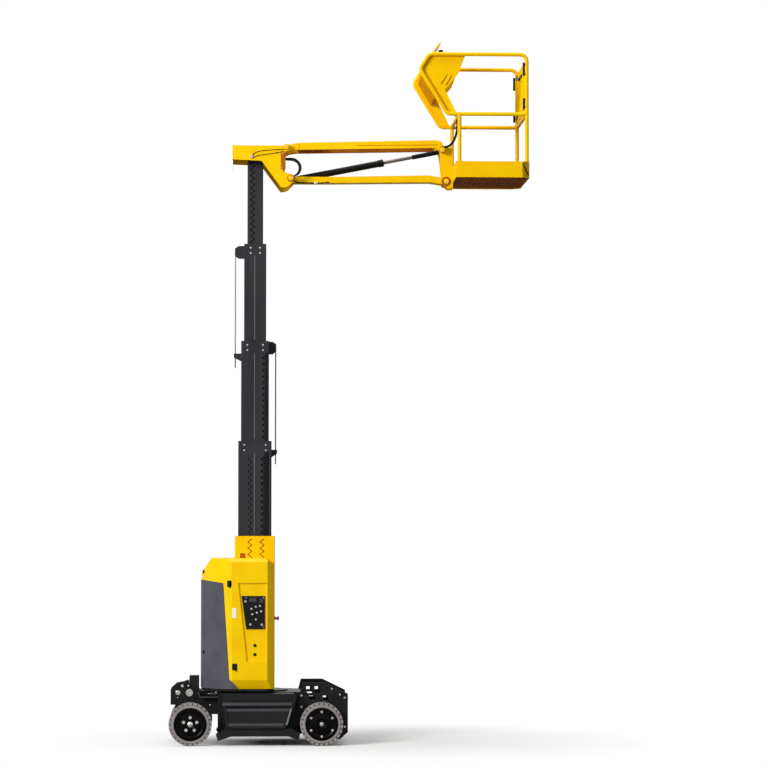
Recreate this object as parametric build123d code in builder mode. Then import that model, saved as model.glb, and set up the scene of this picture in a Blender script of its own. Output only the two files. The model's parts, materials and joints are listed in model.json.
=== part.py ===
from build123d import *
import math
import os

# Battery-electric vertical mast lift, shown with its mast extended and its jib level.
# Millimetres. +X points to the basket, +Y is the machine's left side, +Z is up, the ground is Z = 0.
# X values below are measured from the slewing axis, which stands SLEW_X from the row's origin.

# Running gear
OVERALL_WIDTH = 990
TYRE_R = 192
TYRE_WIDTH = 125
TYRE_EDGE_R = 12
RIM_R = 147
RIM_WALL = 10
DISC_THICK = 12
DISC_INSET = 18
HUB_BORE_R = 30
STEER_AXLE_X = -573
DRIVE_AXLE_X = 596
KINGPIN_REACH = 30
KINGPIN_R = 18
KNUCKLE_HEIGHT = 110
KNUCKLE_WALL = 14
PIN_CLEAR = 0.3
AXLE_R = HUB_BORE_R - PIN_CLEAR
SIDE_CLEAR = 1.0

# Chassis
DECK_Z = 470
FRAME_FLOOR_Z = 97
FRAME_WALL = 12
DECK_PLATE = 14
STEER_ROOM = 243
DRIVE_ROOM = 126
REAR_BEAM_REACH = 139
REAR_BEAM_HALF_WIDTH = 150
FRONT_BEAM_REACH = 176
FRONT_BEAM_INSET = 70
FRONT_BEAM_DROP = 110
BALLAST_DROP = 140
BALLAST_MARGIN = 60
COVER_MARGIN = 15
COVER_DROP = 36
COVER_LIP = 30
COVER_MID_Z = 151
COVER_PANEL_DEPTH = 10
COVER_PANEL_INSET = 24
COVER_RIB_DROP = 68
COVER_RIB = 12
GUARD_Z = 46
FRONT_PLATE_THICK = 10
FRONT_PLATE_RISE = 87
PLATE_TYRE_GAP = 20
PLATE_FRAME_GAP = 20
REAR_PLATE_THICK = 8
REAR_BOX_LENGTH = 88
REAR_BOX_HALF_WIDTH = 60
REAR_BOX_HEIGHT = 134
TURRET_AIR = 12

# Slewing turret
RING_MARGIN = 20
RING_BAND = 150
RING_HEIGHT = 12
RING_GAP = 0.4
PLATFORM_THICK = 19.6
TAIL_MARGIN = 9
TURRET_SIDE_MARGIN = 55
TURRET_FRONT_X = 177
FRONT_CHAMFER = 65
PLATFORM_INSET = 8
HOOD_INNER_Y = 200
COVER_GAP = 0.5
COVER_INSET = 2
HOOD_TOP_Z = 1665
HOOD_REAR_INSET = 8
HOOD_SLOPE_RUN = 93
HOOD_SLOPE_DROP = 131
COVER_REAR_DROP = 193
DOOR_DROP = 220
DOOR_HIGH_RUN = 205
DOOR_LOW_RUN = 261
DOOR_LOW_RISE = 89
DOOR_FOOT_RUN = 337
MAST_GAP = 10
HOOD_FOOT_BEVEL = (35, 80)
HOOD_TOP_BEVEL = (30, 34)
RECESS_DEPTH = 14
RECESS_RISE = 243
BATTERY_REAR_GAP = 56
BATTERY_DROP = 365
PANEL_THICK = 8
PANEL_DROP = 115
PANEL_HEIGHT = 294
STOP_Z = 1127
STOP_Y = -250
STOP_STEM = 24
STOP_STEM_R = 9
STOP_HEAD = 18
STOP_HEAD_R = 20

# Mast: one fixed section and four that slide, each in the last
MAST_BASE_HALF_X = 180
MAST_BASE_HALF_Y = 190
MAST_BASE_TOP = 1864
MAST_WALL = 6
MAST_CORNER_R = 8
PAD_WIDTH = 34
PAD_HEIGHT = 80
PAD_CLEAR = 0.4
PAD_EDGE = 12
# name, half width along X, half width along Y, length, height that stands out of the section before
MAST_STAGES = [
    ("mast_section_2", 150, 160, 1347, 858),
    ("mast_section_3", 125.5, 135, 1394, 907),
    ("mast_section_4", 100, 110, 1418, 884),
    ("mast_section_5", 71, 81, 1436, 878),
]
SEAM_DEPTH = 2
SEAM_WIDTH = 5
TOOTH_PITCH = 55
TOOTH_REACH = 34
WINDOW_X = -108
WINDOW_DROP = 178
WINDOW_WIDTH = 48
WINDOW_HEIGHT = 44
NOTCH_HALF_WIDTH = 45
NOTCH_R = 12

# Lift cables at the mast's sides
SHEAVE_R = 29
SHEAVE_WIDTH = 22
SHEAVE_PIN_R = 9
GROOVE_DEPTH = 12
GROOVE_HALF_WIDTH = 9
CHEEK_THICK = 5
CHEEK_GAP = 0.5
CHEEK_REACH = 34
BLOCK_HEIGHT = 118
BLOCK_HEAD_DROP = 3
BLOCK_HALF_WIDTH = 34
BLOCK_BACK = 4
CABLE_R = 4
ANCHOR_HALF_WIDTH = 20
ANCHOR_LENGTH = 70
ANCHOR_LIP = 14
ANCHOR_TAIL = 96
ANCHOR_TAIL_R = 5

# Head bracket and jib
HEAD_PLATE = 8
HEAD_REAR_X = -209
HEAD_WEB_X = 222
HEAD_CHEEK_Y = 197
PIVOT_A_X = 320
PIVOT_A_DROP = 296
PIVOT_B_X = 280
PIVOT_B_DROP = 14
ARM_SPAN = 1420
ARM_DROP = -10
PIVOT_PIN_R = 15
PIVOT_EYE_R = 28
BOOM_OUTER_Y = 150
BOOM_RAIL_WIDTH = 45
ARM_OUTER_Y = 75
ARM_BAR_WIDTH = 35
CYLINDER_R = 30
CYLINDER_START = 62
CYLINDER_END = 866
ROD_R = 16
ROD_BUTT = 90
ROD_START = 350
EYE_R = 26
EYE_HALF_WIDTH = 24
CARRIER_PLATE_Y = 82
CARRIER_PLATE = 10
CARRIER_RISE = 27
CARRIER_FOOT = 63

# Basket
BASKET_GAP = 60
BASKET_LENGTH = 667
FLOOR_RISE = 7
FLOOR_THICK = 12
TOE_DROP = 12
TOE_HEIGHT = 144
TOE_WALL = 4
CORNER_CUT = 70
RAIL_R = 17.5
RAIL_INSET = 25
TOP_RAIL_HEIGHT = 1103
MID_RAIL_HEIGHT = 562
REAR_POST_INSET = 32
FRONT_POST_INSET = 27
FRONT_BEND_R = 60
POST_FOOT_R = 24
POST_FOOT = 6
SIDE_PLATE = 6
WELD_GAP = 0.2
SLOT_WIDTH = 9
SHIELD_HALF_WIDTH = 180
JOYSTICK_Y = -120
JOYSTICK_STEM_R = 7
JOYSTICK_KNOB_R = 16
GATE_THICK = 20
GATE_FOOT_GAP = 33
GATE_HEAD_GAP = 53
GATE_HINGE_R = 11
GATE_HINGE_INSET = 36
GATE_PIN_R = 5
GATE_PIN_LENGTH = 40
GATE_LUG = 8
GATE_LUG_HALF = 11
GATE_AIR = 1
GATE_SPLIT = 6

# Worked out across the width, from the tyres inward
WHEEL_Y = (OVERALL_WIDTH - TYRE_WIDTH) / 2
TYRE_INNER_Y = OVERALL_WIDTH / 2 - TYRE_WIDTH
KINGPIN_Y = TYRE_INNER_Y + KINGPIN_REACH
FRONT_PLATE_Y = TYRE_INNER_Y - PLATE_TYRE_GAP - FRONT_PLATE_THICK
FRAME_HALF_WIDTH = FRONT_PLATE_Y - PLATE_FRAME_GAP
FRONT_BEAM_HALF_WIDTH = FRAME_HALF_WIDTH - FRONT_BEAM_INSET
COVER_OUTER_Y = OVERALL_WIDTH / 2 - COVER_MARGIN
RING_R = FRAME_HALF_WIDTH - RING_MARGIN
TURRET_R = OVERALL_WIDTH / 2 - TAIL_MARGIN
TURRET_HALF_WIDTH = OVERALL_WIDTH / 2 - TURRET_SIDE_MARGIN
BASKET_HALF_WIDTH = OVERALL_WIDTH / 2
RAIL_Y = BASKET_HALF_WIDTH - RAIL_INSET
GATE_HINGE_Y = RAIL_Y - GATE_HINGE_INSET

# Worked out along the chassis, from the axles
FRAME_REAR_X = STEER_AXLE_X + STEER_ROOM
FRAME_FRONT_X = DRIVE_AXLE_X - DRIVE_ROOM
REAR_BEAM_END_X = STEER_AXLE_X - REAR_BEAM_REACH
FRONT_BEAM_END_X = DRIVE_AXLE_X + FRONT_BEAM_REACH
FRONT_BEAM_TOP_Z = DECK_Z - FRONT_BEAM_DROP
BALLAST_TOP_Z = DECK_Z - BALLAST_DROP
COVER_TOP_Z = DECK_Z - COVER_DROP
FRONT_PLATE_TOP_Z = DECK_Z + FRONT_PLATE_RISE

# Worked out up the turret
TURRET_Z = DECK_Z + RING_HEIGHT + RING_GAP + PLATFORM_THICK
HOOD_REAR_X = -TURRET_R + HOOD_REAR_INSET
HOOD_SLOPE_X = -TURRET_R + HOOD_SLOPE_RUN
HOOD_SLOPE_Z = HOOD_TOP_Z - HOOD_SLOPE_DROP
COVER_REAR_Z = HOOD_TOP_Z - COVER_REAR_DROP
DOOR_HIGH_X = -TURRET_R + DOOR_HIGH_RUN
DOOR_HIGH_Z = HOOD_TOP_Z - DOOR_DROP
DOOR_LOW_X = -TURRET_R + DOOR_LOW_RUN
DOOR_FOOT_X = -TURRET_R + DOOR_FOOT_RUN
DOOR_LOW_Z = TURRET_Z + DOOR_LOW_RISE
BATTERY_REAR_X = -TURRET_R + BATTERY_REAR_GAP
BATTERY_TOP_Z = HOOD_TOP_Z - BATTERY_DROP

# Worked out up the mast: name, half width along X, half width along Y, foot, head
TUBES = [("mast_base", MAST_BASE_HALF_X, MAST_BASE_HALF_Y, TURRET_Z, MAST_BASE_TOP)]
for name, half_x, half_y, length, standing_out in MAST_STAGES:
    head_z = TUBES[-1][4] + standing_out
    TUBES.append((name, half_x, half_y, head_z - length, head_z))
HEADS = {name: head_z for name, half_x, half_y, foot_z, head_z in TUBES}

# Worked out along the jib: its pivots, then the basket that hangs on the outer pair
HEAD_TOP_Z = HEADS["mast_section_5"] + HEAD_PLATE
PIVOT_A = (PIVOT_A_X, HEAD_TOP_Z - PIVOT_A_DROP)
PIVOT_B = (PIVOT_B_X, HEAD_TOP_Z - PIVOT_B_DROP)
PIVOT_C = (PIVOT_B[0] + ARM_SPAN, PIVOT_B[1] + ARM_DROP)
PIVOT_D = (PIVOT_A[0] + ARM_SPAN, PIVOT_A[1] + ARM_DROP)
CARRIER_TOP_Z = PIVOT_C[1] + CARRIER_RISE
CARRIER_FOOT_Z = PIVOT_D[1] - CARRIER_FOOT
BASKET_REAR_X = PIVOT_D[0] + BASKET_GAP
BASKET_FRONT_X = BASKET_REAR_X + BASKET_LENGTH
BASKET_FLOOR_Z = PIVOT_D[1] + FLOOR_RISE
TOE_BOTTOM_Z = BASKET_FLOOR_Z - TOE_DROP
TOE_TOP_Z = TOE_BOTTOM_Z + TOE_HEIGHT
TOP_RAIL_Z = BASKET_FLOOR_Z + TOP_RAIL_HEIGHT
MID_RAIL_Z = BASKET_FLOOR_Z + MID_RAIL_HEIGHT
REAR_POST_X = BASKET_REAR_X + REAR_POST_INSET
FRONT_POST_X = BASKET_FRONT_X - FRONT_POST_INSET
GATE_Z0 = MID_RAIL_Z + GATE_FOOT_GAP
GATE_Z1 = TOP_RAIL_Z - GATE_HEAD_GAP

# The slewing axis, set so that the row's origin is at the middle of the whole length
SLEW_X = (TYRE_R - STEER_AXLE_X - BASKET_FRONT_X) / 2
SIDES = {"left": 1, "right": -1}


def side_plane(y=0.0):
    """Looks along +Y: local x is X from the slewing axis, local y is height."""
    return Plane(origin=(SLEW_X, y, 0), x_dir=(1, 0, 0), z_dir=(0, -1, 0))


def plan_plane(z, x=0.0, y=0.0):
    """Looks down: local x and y are X and Y from the slewing axis."""
    return Plane(origin=(SLEW_X + x, y, z), x_dir=(1, 0, 0), z_dir=(0, 0, 1))


def end_plane(x, y=0.0, z=0.0):
    """Faces +X: local x is Y, local y is height."""
    return Plane(origin=(SLEW_X + x, y, z), x_dir=(0, 1, 0), z_dir=(1, 0, 0))


def wheel_plane(x, y, side):
    """Stands on a wheel's axis and faces outward."""
    return Plane(origin=(SLEW_X + x, y, TYRE_R), x_dir=(1, 0, 0), z_dir=(0, side, 0))


def slab(points, y0, y1, mode=Mode.ADD):
    """Side outline (X, Z) extruded from Y = y0 to Y = y1."""
    with BuildSketch(side_plane(y0)) as outline:
        with BuildLine():
            Polyline(points, close=True)
        make_face()
    extrude(outline.sketch, amount=y0 - y1, mode=mode)


def bar_y(x, z, radius, y0, y1, mode=Mode.ADD):
    """Round bar along Y."""
    with BuildSketch(side_plane(y0)) as section:
        with Locations((x, z)):
            Circle(radius)
    extrude(section.sketch, amount=y0 - y1, mode=mode)


def rod_z(x, y, radius, z0, z1, mode=Mode.ADD):
    """Round bar along Z."""
    with BuildSketch(plan_plane(z0, x, y)) as section:
        Circle(radius)
    extrude(section.sketch, amount=z1 - z0, mode=mode)


def block(x0, x1, y0, y1, z0, z1, mode=Mode.ADD):
    """Rectangular block between two corners."""
    with BuildSketch(plan_plane(z0)) as base:
        with Locations(((x0 + x1) / 2, (y0 + y1) / 2)):
            Rectangle(abs(x1 - x0), abs(y1 - y0))
    extrude(base.sketch, amount=z1 - z0, mode=mode)


def shifted(origin, points):
    """Side outline points (X, Z) given as offsets from an origin."""
    return [(origin[0] + dx, origin[1] + dz) for dx, dz in points]


def rail_point(dx, share):
    """Side point dx from the basket's rear edge, at a share of the way from the middle rail to the top one."""
    return (BASKET_REAR_X + dx, MID_RAIL_Z + share * (TOP_RAIL_Z - MID_RAIL_Z))


def finish(builder, name):
    """Labels a finished piece and writes it."""
    builder.part.label = name
    export_step(builder.part, f"parts/{name}.step")


os.makedirs("parts", exist_ok=True)

# Wheels: tyre and disc, the drive wheels with a hub motor boss and the steered ones with a small cap
WHEELS = [
    ("rear", STEER_AXLE_X),
    ("front", DRIVE_AXLE_X),
]
for end, axle_x in WHEELS:
    for side_name, side in SIDES.items():
        inner_y = side * (WHEEL_Y - TYRE_WIDTH / 2)
        with BuildPart() as tyre:
            with BuildSketch(wheel_plane(axle_x, inner_y, side)) as ring:
                Circle(TYRE_R)
                Circle(RIM_R, mode=Mode.SUBTRACT)
            extrude(amount=TYRE_WIDTH)
            treads = tyre.edges().filter_by(GeomType.CIRCLE).group_by(SortBy.RADIUS)[-1]
            chamfer(treads.sort_by(Axis.Y, reverse=side < 0)[-1], TYRE_EDGE_R)
        finish(tyre, f"tyre_{end}_{side_name}")

        with BuildPart() as disc:
            with BuildSketch(wheel_plane(axle_x, inner_y, side)) as rim:
                Circle(RIM_R)
                Circle(RIM_R - RIM_WALL, mode=Mode.SUBTRACT)
            extrude(amount=TYRE_WIDTH)
            with BuildSketch(wheel_plane(axle_x, inner_y + side * (TYRE_WIDTH - DISC_INSET), side)) as web:
                Circle(RIM_R)
                Circle(HUB_BORE_R, mode=Mode.SUBTRACT)
            extrude(amount=-DISC_THICK)
        finish(disc, f"wheel_disc_{end}_{side_name}")

# Steering knuckles: a kingpin sleeve between the beam's jaws and a stub axle that carries the wheel
STUB_END_Y = WHEEL_Y + TYRE_WIDTH / 2 - DISC_INSET + 8
for side_name, side in SIDES.items():
    with BuildPart() as knuckle:
        with BuildSketch(plan_plane(TYRE_R - KNUCKLE_HEIGHT / 2, STEER_AXLE_X, side * KINGPIN_Y)) as sleeve:
            Circle(KINGPIN_R + KNUCKLE_WALL)
            Circle(KINGPIN_R + PIN_CLEAR, mode=Mode.SUBTRACT)
        extrude(amount=KNUCKLE_HEIGHT)
        stub_start = side * (KINGPIN_Y + KINGPIN_R + KNUCKLE_WALL / 2)
        with BuildSketch(wheel_plane(STEER_AXLE_X, stub_start, side)) as stub:
            Circle(AXLE_R)
        extrude(amount=STUB_END_Y - abs(stub_start))
    finish(knuckle, f"knuckle_{side_name}")

# Steered axle: cross beam with a pair of jaws and a kingpin at each end
JAW_THICK = 16
JAW_RUN = KINGPIN_R + KNUCKLE_WALL + 6
jaw_gap = KNUCKLE_HEIGHT / 2 + SIDE_CLEAR
with BuildPart() as steer_axle:
    block(STEER_AXLE_X - 45, STEER_AXLE_X + 45, -KINGPIN_Y + JAW_RUN + 12, KINGPIN_Y - JAW_RUN - 12,
          TYRE_R - jaw_gap - JAW_THICK, TYRE_R + jaw_gap + JAW_THICK)
    for side in SIDES.values():
        for level in (TYRE_R - jaw_gap - JAW_THICK, TYRE_R + jaw_gap):
            with BuildSketch(plan_plane(level, STEER_AXLE_X)) as jaw:
                with BuildLine():
                    Polyline(
                        (-32, side * (KINGPIN_Y - JAW_RUN - 14)),
                        (-32, side * KINGPIN_Y),
                        (32, side * KINGPIN_Y),
                        (32, side * (KINGPIN_Y - JAW_RUN - 14)),
                        close=True,
                    )
                make_face()
                with Locations((0, side * KINGPIN_Y)):
                    Circle(32)
            extrude(amount=JAW_THICK)
        with BuildSketch(plan_plane(TYRE_R - jaw_gap - JAW_THICK, STEER_AXLE_X, side * KINGPIN_Y)) as pin:
            Circle(KINGPIN_R)
        extrude(amount=2 * (jaw_gap + JAW_THICK))
finish(steer_axle, "steer_axle")

# Drive axle: two hub motors on a cross tube, each with a shaft into its wheel
MOTOR_R = 85
MOTOR_INNER_Y = 240
with BuildPart() as drive_axle:
    bar_y(DRIVE_AXLE_X, TYRE_R, 60, -MOTOR_INNER_Y, MOTOR_INNER_Y)
    for side in SIDES.values():
        web_y = WHEEL_Y + TYRE_WIDTH / 2 - DISC_INSET
        ends = sorted([side * MOTOR_INNER_Y, side * (web_y - DISC_THICK - SIDE_CLEAR)])
        bar_y(DRIVE_AXLE_X, TYRE_R, MOTOR_R, ends[0], ends[1])
        ends = sorted([side * MOTOR_INNER_Y, side * (web_y + 10)])
        bar_y(DRIVE_AXLE_X, TYRE_R, AXLE_R, ends[0], ends[1])
finish(drive_axle, "drive_axle")

# Chassis frame: a hollow box between the axles with a narrow beam to each end
with BuildPart() as frame:
    block(FRAME_REAR_X, FRAME_FRONT_X, -FRAME_HALF_WIDTH, FRAME_HALF_WIDTH, FRAME_FLOOR_Z, DECK_Z)
    block(FRAME_REAR_X + FRAME_WALL, FRAME_FRONT_X - FRAME_WALL, -FRAME_HALF_WIDTH + FRAME_WALL,
          FRAME_HALF_WIDTH - FRAME_WALL, FRAME_FLOOR_Z + FRAME_WALL, DECK_Z - DECK_PLATE, mode=Mode.SUBTRACT)
    block(REAR_BEAM_END_X, FRAME_REAR_X, -REAR_BEAM_HALF_WIDTH, REAR_BEAM_HALF_WIDTH,
          TYRE_R + jaw_gap + JAW_THICK, DECK_Z)
    block(FRAME_FRONT_X, FRONT_BEAM_END_X, -FRONT_BEAM_HALF_WIDTH, FRONT_BEAM_HALF_WIDTH,
          TYRE_R + MOTOR_R + 8, FRONT_BEAM_TOP_Z)
finish(frame, "chassis_frame")

with BuildPart() as ballast:
    block(FRAME_REAR_X + BALLAST_MARGIN, FRAME_FRONT_X - BALLAST_MARGIN, -FRAME_HALF_WIDTH + BALLAST_MARGIN,
          FRAME_HALF_WIDTH - BALLAST_MARGIN, FRAME_FLOOR_Z + FRAME_WALL, BALLAST_TOP_Z)
finish(ballast, "ballast_block")

# Moulded side covers between the wheels, each with the pothole guard under it
COVER_START = STEER_AXLE_X + TYRE_R
COVER_END = DRIVE_AXLE_X - TYRE_R
COVER_OUTLINE = [(COVER_START + 79, COVER_TOP_Z + COVER_LIP), (COVER_START + 90, COVER_TOP_Z),
                 (COVER_START + 126, COVER_MID_Z), (COVER_END - 135, COVER_MID_Z),
                 (COVER_END - 29, COVER_TOP_Z), (COVER_END - 52, COVER_TOP_Z + COVER_LIP)]
GUARD_OUTLINE = [(COVER_START + 126, COVER_MID_Z), (COVER_START + 35, GUARD_Z + 54),
                 (COVER_START + 55, GUARD_Z), (COVER_START + 171, GUARD_Z + 38),
                 (COVER_END - 104, GUARD_Z + 38), (COVER_END - 10, GUARD_Z),
                 (COVER_END, GUARD_Z + 64), (COVER_END - 74, COVER_MID_Z)]
for side_name, side in SIDES.items():
    ends = sorted([side * FRAME_HALF_WIDTH, side * COVER_OUTER_Y])
    with BuildPart() as cover:
        slab(COVER_OUTLINE, ends[0], ends[1])
        slab(GUARD_OUTLINE, ends[0], ends[1])
        with BuildSketch(side_plane(side * COVER_OUTER_Y)) as panels:
            with BuildLine():
                Polyline(COVER_OUTLINE[1:5], close=True)
            make_face()
            offset(amount=-COVER_PANEL_INSET, kind=Kind.INTERSECTION, mode=Mode.REPLACE)
            with Locations((0, COVER_TOP_Z - COVER_RIB_DROP)):
                Rectangle(2 * FRAME_FRONT_X, COVER_RIB, mode=Mode.SUBTRACT)
        extrude(panels.sketch, amount=side * COVER_PANEL_DEPTH, mode=Mode.SUBTRACT)
    finish(cover, f"side_cover_{side_name}")

# Perforated plates over the drive wheels
PLATE_OUTLINE = shifted((DRIVE_AXLE_X, FRONT_PLATE_TOP_Z), [(-208, -150), (-168, 0), (28, 0), (238, -102)])
PLATE_OUTLINE += shifted((DRIVE_AXLE_X, 0), [(238, 113), (171, 52), (44, 52), (-116, 110), (-186, 200),
                                             (-208, 300)])
# distance ahead of the axle, drop from the plate's top, width and height of each window
PLATE_WINDOWS = [
    (-111, 65, 50, 60),
    (-36, 65, 50, 60),
    (-83, 138, 54, 40),
    (38, 144, 49, 52),
]
PLATE_SHELF_DROP = 40
PLATE_SHELF_THICK = 15
for side_name, side in SIDES.items():
    ends = sorted([side * FRONT_PLATE_Y, side * (FRONT_PLATE_Y + FRONT_PLATE_THICK)])
    with BuildPart() as plate:
        slab(PLATE_OUTLINE, ends[0], ends[1])
        with BuildSketch(side_plane(ends[0])) as windows:
            for ahead, drop, width, height in PLATE_WINDOWS:
                with Locations((DRIVE_AXLE_X + ahead, FRONT_PLATE_TOP_Z - drop)):
                    Rectangle(width, height)
        extrude(amount=ends[0] - ends[1], mode=Mode.SUBTRACT)
        bar_y(DRIVE_AXLE_X, TYRE_R, MOTOR_R + PIN_CLEAR, ends[0], ends[1], mode=Mode.SUBTRACT)
        reach = sorted([side * FRONT_BEAM_HALF_WIDTH, side * FRONT_PLATE_Y])
        shelf_z = FRONT_BEAM_TOP_Z - PLATE_SHELF_DROP
        block(FRAME_FRONT_X + 20, FRONT_BEAM_END_X - 60, reach[0], reach[1], shelf_z,
              shelf_z + PLATE_SHELF_THICK)
    finish(plate, f"front_plate_{side_name}")

# Rear bracket: two holed plates at the beam's sides with a junction box between them
REAR_CORNER = (STEER_AXLE_X, DECK_Z)
REAR_TAIL_X = STEER_AXLE_X - 180
REAR_OUTLINE = shifted(REAR_CORNER, [(-180, -120), (-180, 18), (-127, 66), (-37, 82), (33, 30), (33, -120)])
# distance from the axle along X, drop from the deck, radius: the tie-down hole and a small one behind it
REAR_HOLES = [
    (-11, 14, 26),
    (-113, 14, 17),
]
REAR_SHELF_DROP = 30
REAR_SHELF_THICK = 40
with BuildPart() as rear_bracket:
    for side in SIDES.values():
        ends = sorted([side * REAR_BEAM_HALF_WIDTH, side * (REAR_BEAM_HALF_WIDTH + REAR_PLATE_THICK)])
        slab(REAR_OUTLINE, ends[0], ends[1])
        for dx, drop, radius in REAR_HOLES:
            bar_y(STEER_AXLE_X + dx, DECK_Z - drop, radius, ends[0], ends[1], mode=Mode.SUBTRACT)
    shelf_z = DECK_Z - REAR_SHELF_DROP
    block(REAR_TAIL_X, REAR_BEAM_END_X - PIN_CLEAR, -REAR_BEAM_HALF_WIDTH, REAR_BEAM_HALF_WIDTH,
          shelf_z - REAR_SHELF_THICK, shelf_z)
finish(rear_bracket, "rear_bracket")

with BuildPart() as rear_box:
    box_front_x = -TURRET_R - TURRET_AIR
    block(box_front_x - REAR_BOX_LENGTH, box_front_x, -REAR_BOX_HALF_WIDTH, REAR_BOX_HALF_WIDTH,
          DECK_Z, DECK_Z + REAR_BOX_HEIGHT)
finish(rear_box, "junction_box")

# Slewing ring on the deck, and the platform that turns on it
with BuildPart() as slew_ring:
    with BuildSketch(plan_plane(DECK_Z)) as ring:
        Circle(RING_R)
        Circle(RING_R - RING_BAND, mode=Mode.SUBTRACT)
    extrude(amount=RING_HEIGHT)
finish(slew_ring, "slewing_ring")


def turret_body(z0, z1, inset=0.0):
    """The turret's plan, round behind, flat at the sides and front, with cut front corners, from z0 to z1."""
    front = TURRET_FRONT_X - inset
    half = TURRET_HALF_WIDTH - inset
    rear = -TURRET_R
    cut = FRONT_CHAMFER
    with BuildSketch(plan_plane(z0)) as footprint:
        with BuildLine():
            Polyline((rear, -half), (front - cut, -half), (front, -half + cut), (front, half - cut),
                     (front - cut, half), (rear, half), close=True)
        make_face()
        Circle(TURRET_R - inset, mode=Mode.INTERSECT)
    extrude(footprint.sketch, amount=z1 - z0)


with BuildPart() as platform:
    turret_body(DECK_Z + RING_HEIGHT + RING_GAP, TURRET_Z, PLATFORM_INSET)
finish(platform, "slewing_platform")

# Hood: a moulded shell at each side, a cap behind the mast and a grey cover over the batteries
HOOD_BACK = [(HOOD_REAR_X, COVER_REAR_Z), (HOOD_REAR_X, HOOD_SLOPE_Z), (HOOD_SLOPE_X, HOOD_TOP_Z)]
HOOD_FRONT = shifted((TURRET_FRONT_X, HOOD_TOP_Z), [(-82, 0), (-12, -71), (23, -105)])
HOOD_OUTLINE = HOOD_BACK + HOOD_FRONT + [(TURRET_FRONT_X + 23, TURRET_Z), (DOOR_FOOT_X, TURRET_Z),
                                         (DOOR_LOW_X, DOOR_LOW_Z), (DOOR_HIGH_X, DOOR_HIGH_Z)]
RECESS_OUTLINE = [(-150, DOOR_HIGH_Z), (108, DOOR_HIGH_Z), (108, TURRET_Z + RECESS_RISE),
                  (-72, TURRET_Z + RECESS_RISE)]
CAP_FRONT_X = -MAST_BASE_HALF_X - MAST_GAP
for side_name, side in SIDES.items():
    with BuildPart() as hood:
        turret_body(TURRET_Z, HOOD_TOP_Z)
        slab(HOOD_OUTLINE, side * HOOD_INNER_Y, side * TURRET_HALF_WIDTH, mode=Mode.INTERSECT)
        for edge_z, (inward, rise) in ((TURRET_Z, HOOD_FOOT_BEVEL), (HOOD_TOP_Z, HOOD_TOP_BEVEL)):
            up = 1 if edge_z == TURRET_Z else -1
            with BuildSketch(end_plane(-TURRET_R)) as bevel:
                with BuildLine():
                    Polyline((side * (TURRET_HALF_WIDTH - inward), edge_z),
                             (side * TURRET_HALF_WIDTH, edge_z + up * rise),
                             (side * (TURRET_HALF_WIDTH + 1), edge_z), close=True)
                make_face()
            extrude(bevel.sketch, amount=2 * TURRET_R, mode=Mode.SUBTRACT)
        slab(RECESS_OUTLINE, side * (TURRET_HALF_WIDTH - RECESS_DEPTH), side * (TURRET_HALF_WIDTH + 1),
             mode=Mode.SUBTRACT)
    finish(hood, f"hood_{side_name}")

CAP_OUTLINE = HOOD_BACK + [(CAP_FRONT_X, HOOD_TOP_Z), (CAP_FRONT_X, DOOR_HIGH_Z), (DOOR_HIGH_X, DOOR_HIGH_Z)]
with BuildPart() as cap:
    turret_body(TURRET_Z, HOOD_TOP_Z)
    slab(CAP_OUTLINE, -HOOD_INNER_Y, HOOD_INNER_Y, mode=Mode.INTERSECT)
finish(cap, "hood_cap")

COVER_PROFILE = [(-TURRET_R, TURRET_Z), (-TURRET_R, COVER_REAR_Z - COVER_GAP),
                 (DOOR_HIGH_X - COVER_GAP, DOOR_HIGH_Z - COVER_GAP), (DOOR_LOW_X - COVER_GAP, DOOR_LOW_Z),
                 (DOOR_FOOT_X - COVER_GAP, TURRET_Z)]
with BuildPart() as rear_cover:
    turret_body(TURRET_Z, HOOD_TOP_Z, COVER_INSET)
    slab(COVER_PROFILE, -TURRET_HALF_WIDTH, TURRET_HALF_WIDTH, mode=Mode.INTERSECT)
    block(BATTERY_REAR_X - COVER_GAP, 0, -HOOD_INNER_Y, HOOD_INNER_Y, TURRET_Z, BATTERY_TOP_Z + COVER_GAP,
          mode=Mode.SUBTRACT)
finish(rear_cover, "rear_cover")

with BuildPart() as battery:
    block(BATTERY_REAR_X, CAP_FRONT_X - MAST_GAP, -HOOD_INNER_Y + COVER_GAP, HOOD_INNER_Y - COVER_GAP,
          TURRET_Z, BATTERY_TOP_Z)
finish(battery, "battery_pack")

# Ground controls on the right side of the hood, emergency stop on the turret's front
PANEL_TOP_Z = DOOR_HIGH_Z - PANEL_DROP
PANEL_OUTLINE = [(-120, PANEL_TOP_Z), (90, PANEL_TOP_Z), (90, PANEL_TOP_Z - PANEL_HEIGHT),
                 (-79, PANEL_TOP_Z - PANEL_HEIGHT)]
with BuildPart() as panel:
    slab(PANEL_OUTLINE, -TURRET_HALF_WIDTH + RECESS_DEPTH - PANEL_THICK, -TURRET_HALF_WIDTH + RECESS_DEPTH)
finish(panel, "control_panel")

with BuildPart() as stop_button:
    with BuildSketch(end_plane(TURRET_FRONT_X, STOP_Y, STOP_Z)):
        Circle(STOP_STEM_R)
    extrude(amount=STOP_STEM)
    with BuildSketch(end_plane(TURRET_FRONT_X + STOP_STEM, STOP_Y, STOP_Z)):
        Circle(STOP_HEAD_R)
    extrude(amount=STOP_HEAD)
finish(stop_button, "emergency_stop")


def tube(half_x, half_y, z0, z1):
    """Rectangular mast tube with rounded corners."""
    with BuildSketch(plan_plane(z0)) as section:
        RectangleRounded(2 * half_x, 2 * half_y, MAST_CORNER_R)
        RectangleRounded(2 * (half_x - MAST_WALL), 2 * (half_y - MAST_WALL), MAST_CORNER_R - MAST_WALL,
                         mode=Mode.SUBTRACT)
    extrude(section.sketch, amount=z1 - z0)


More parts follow.
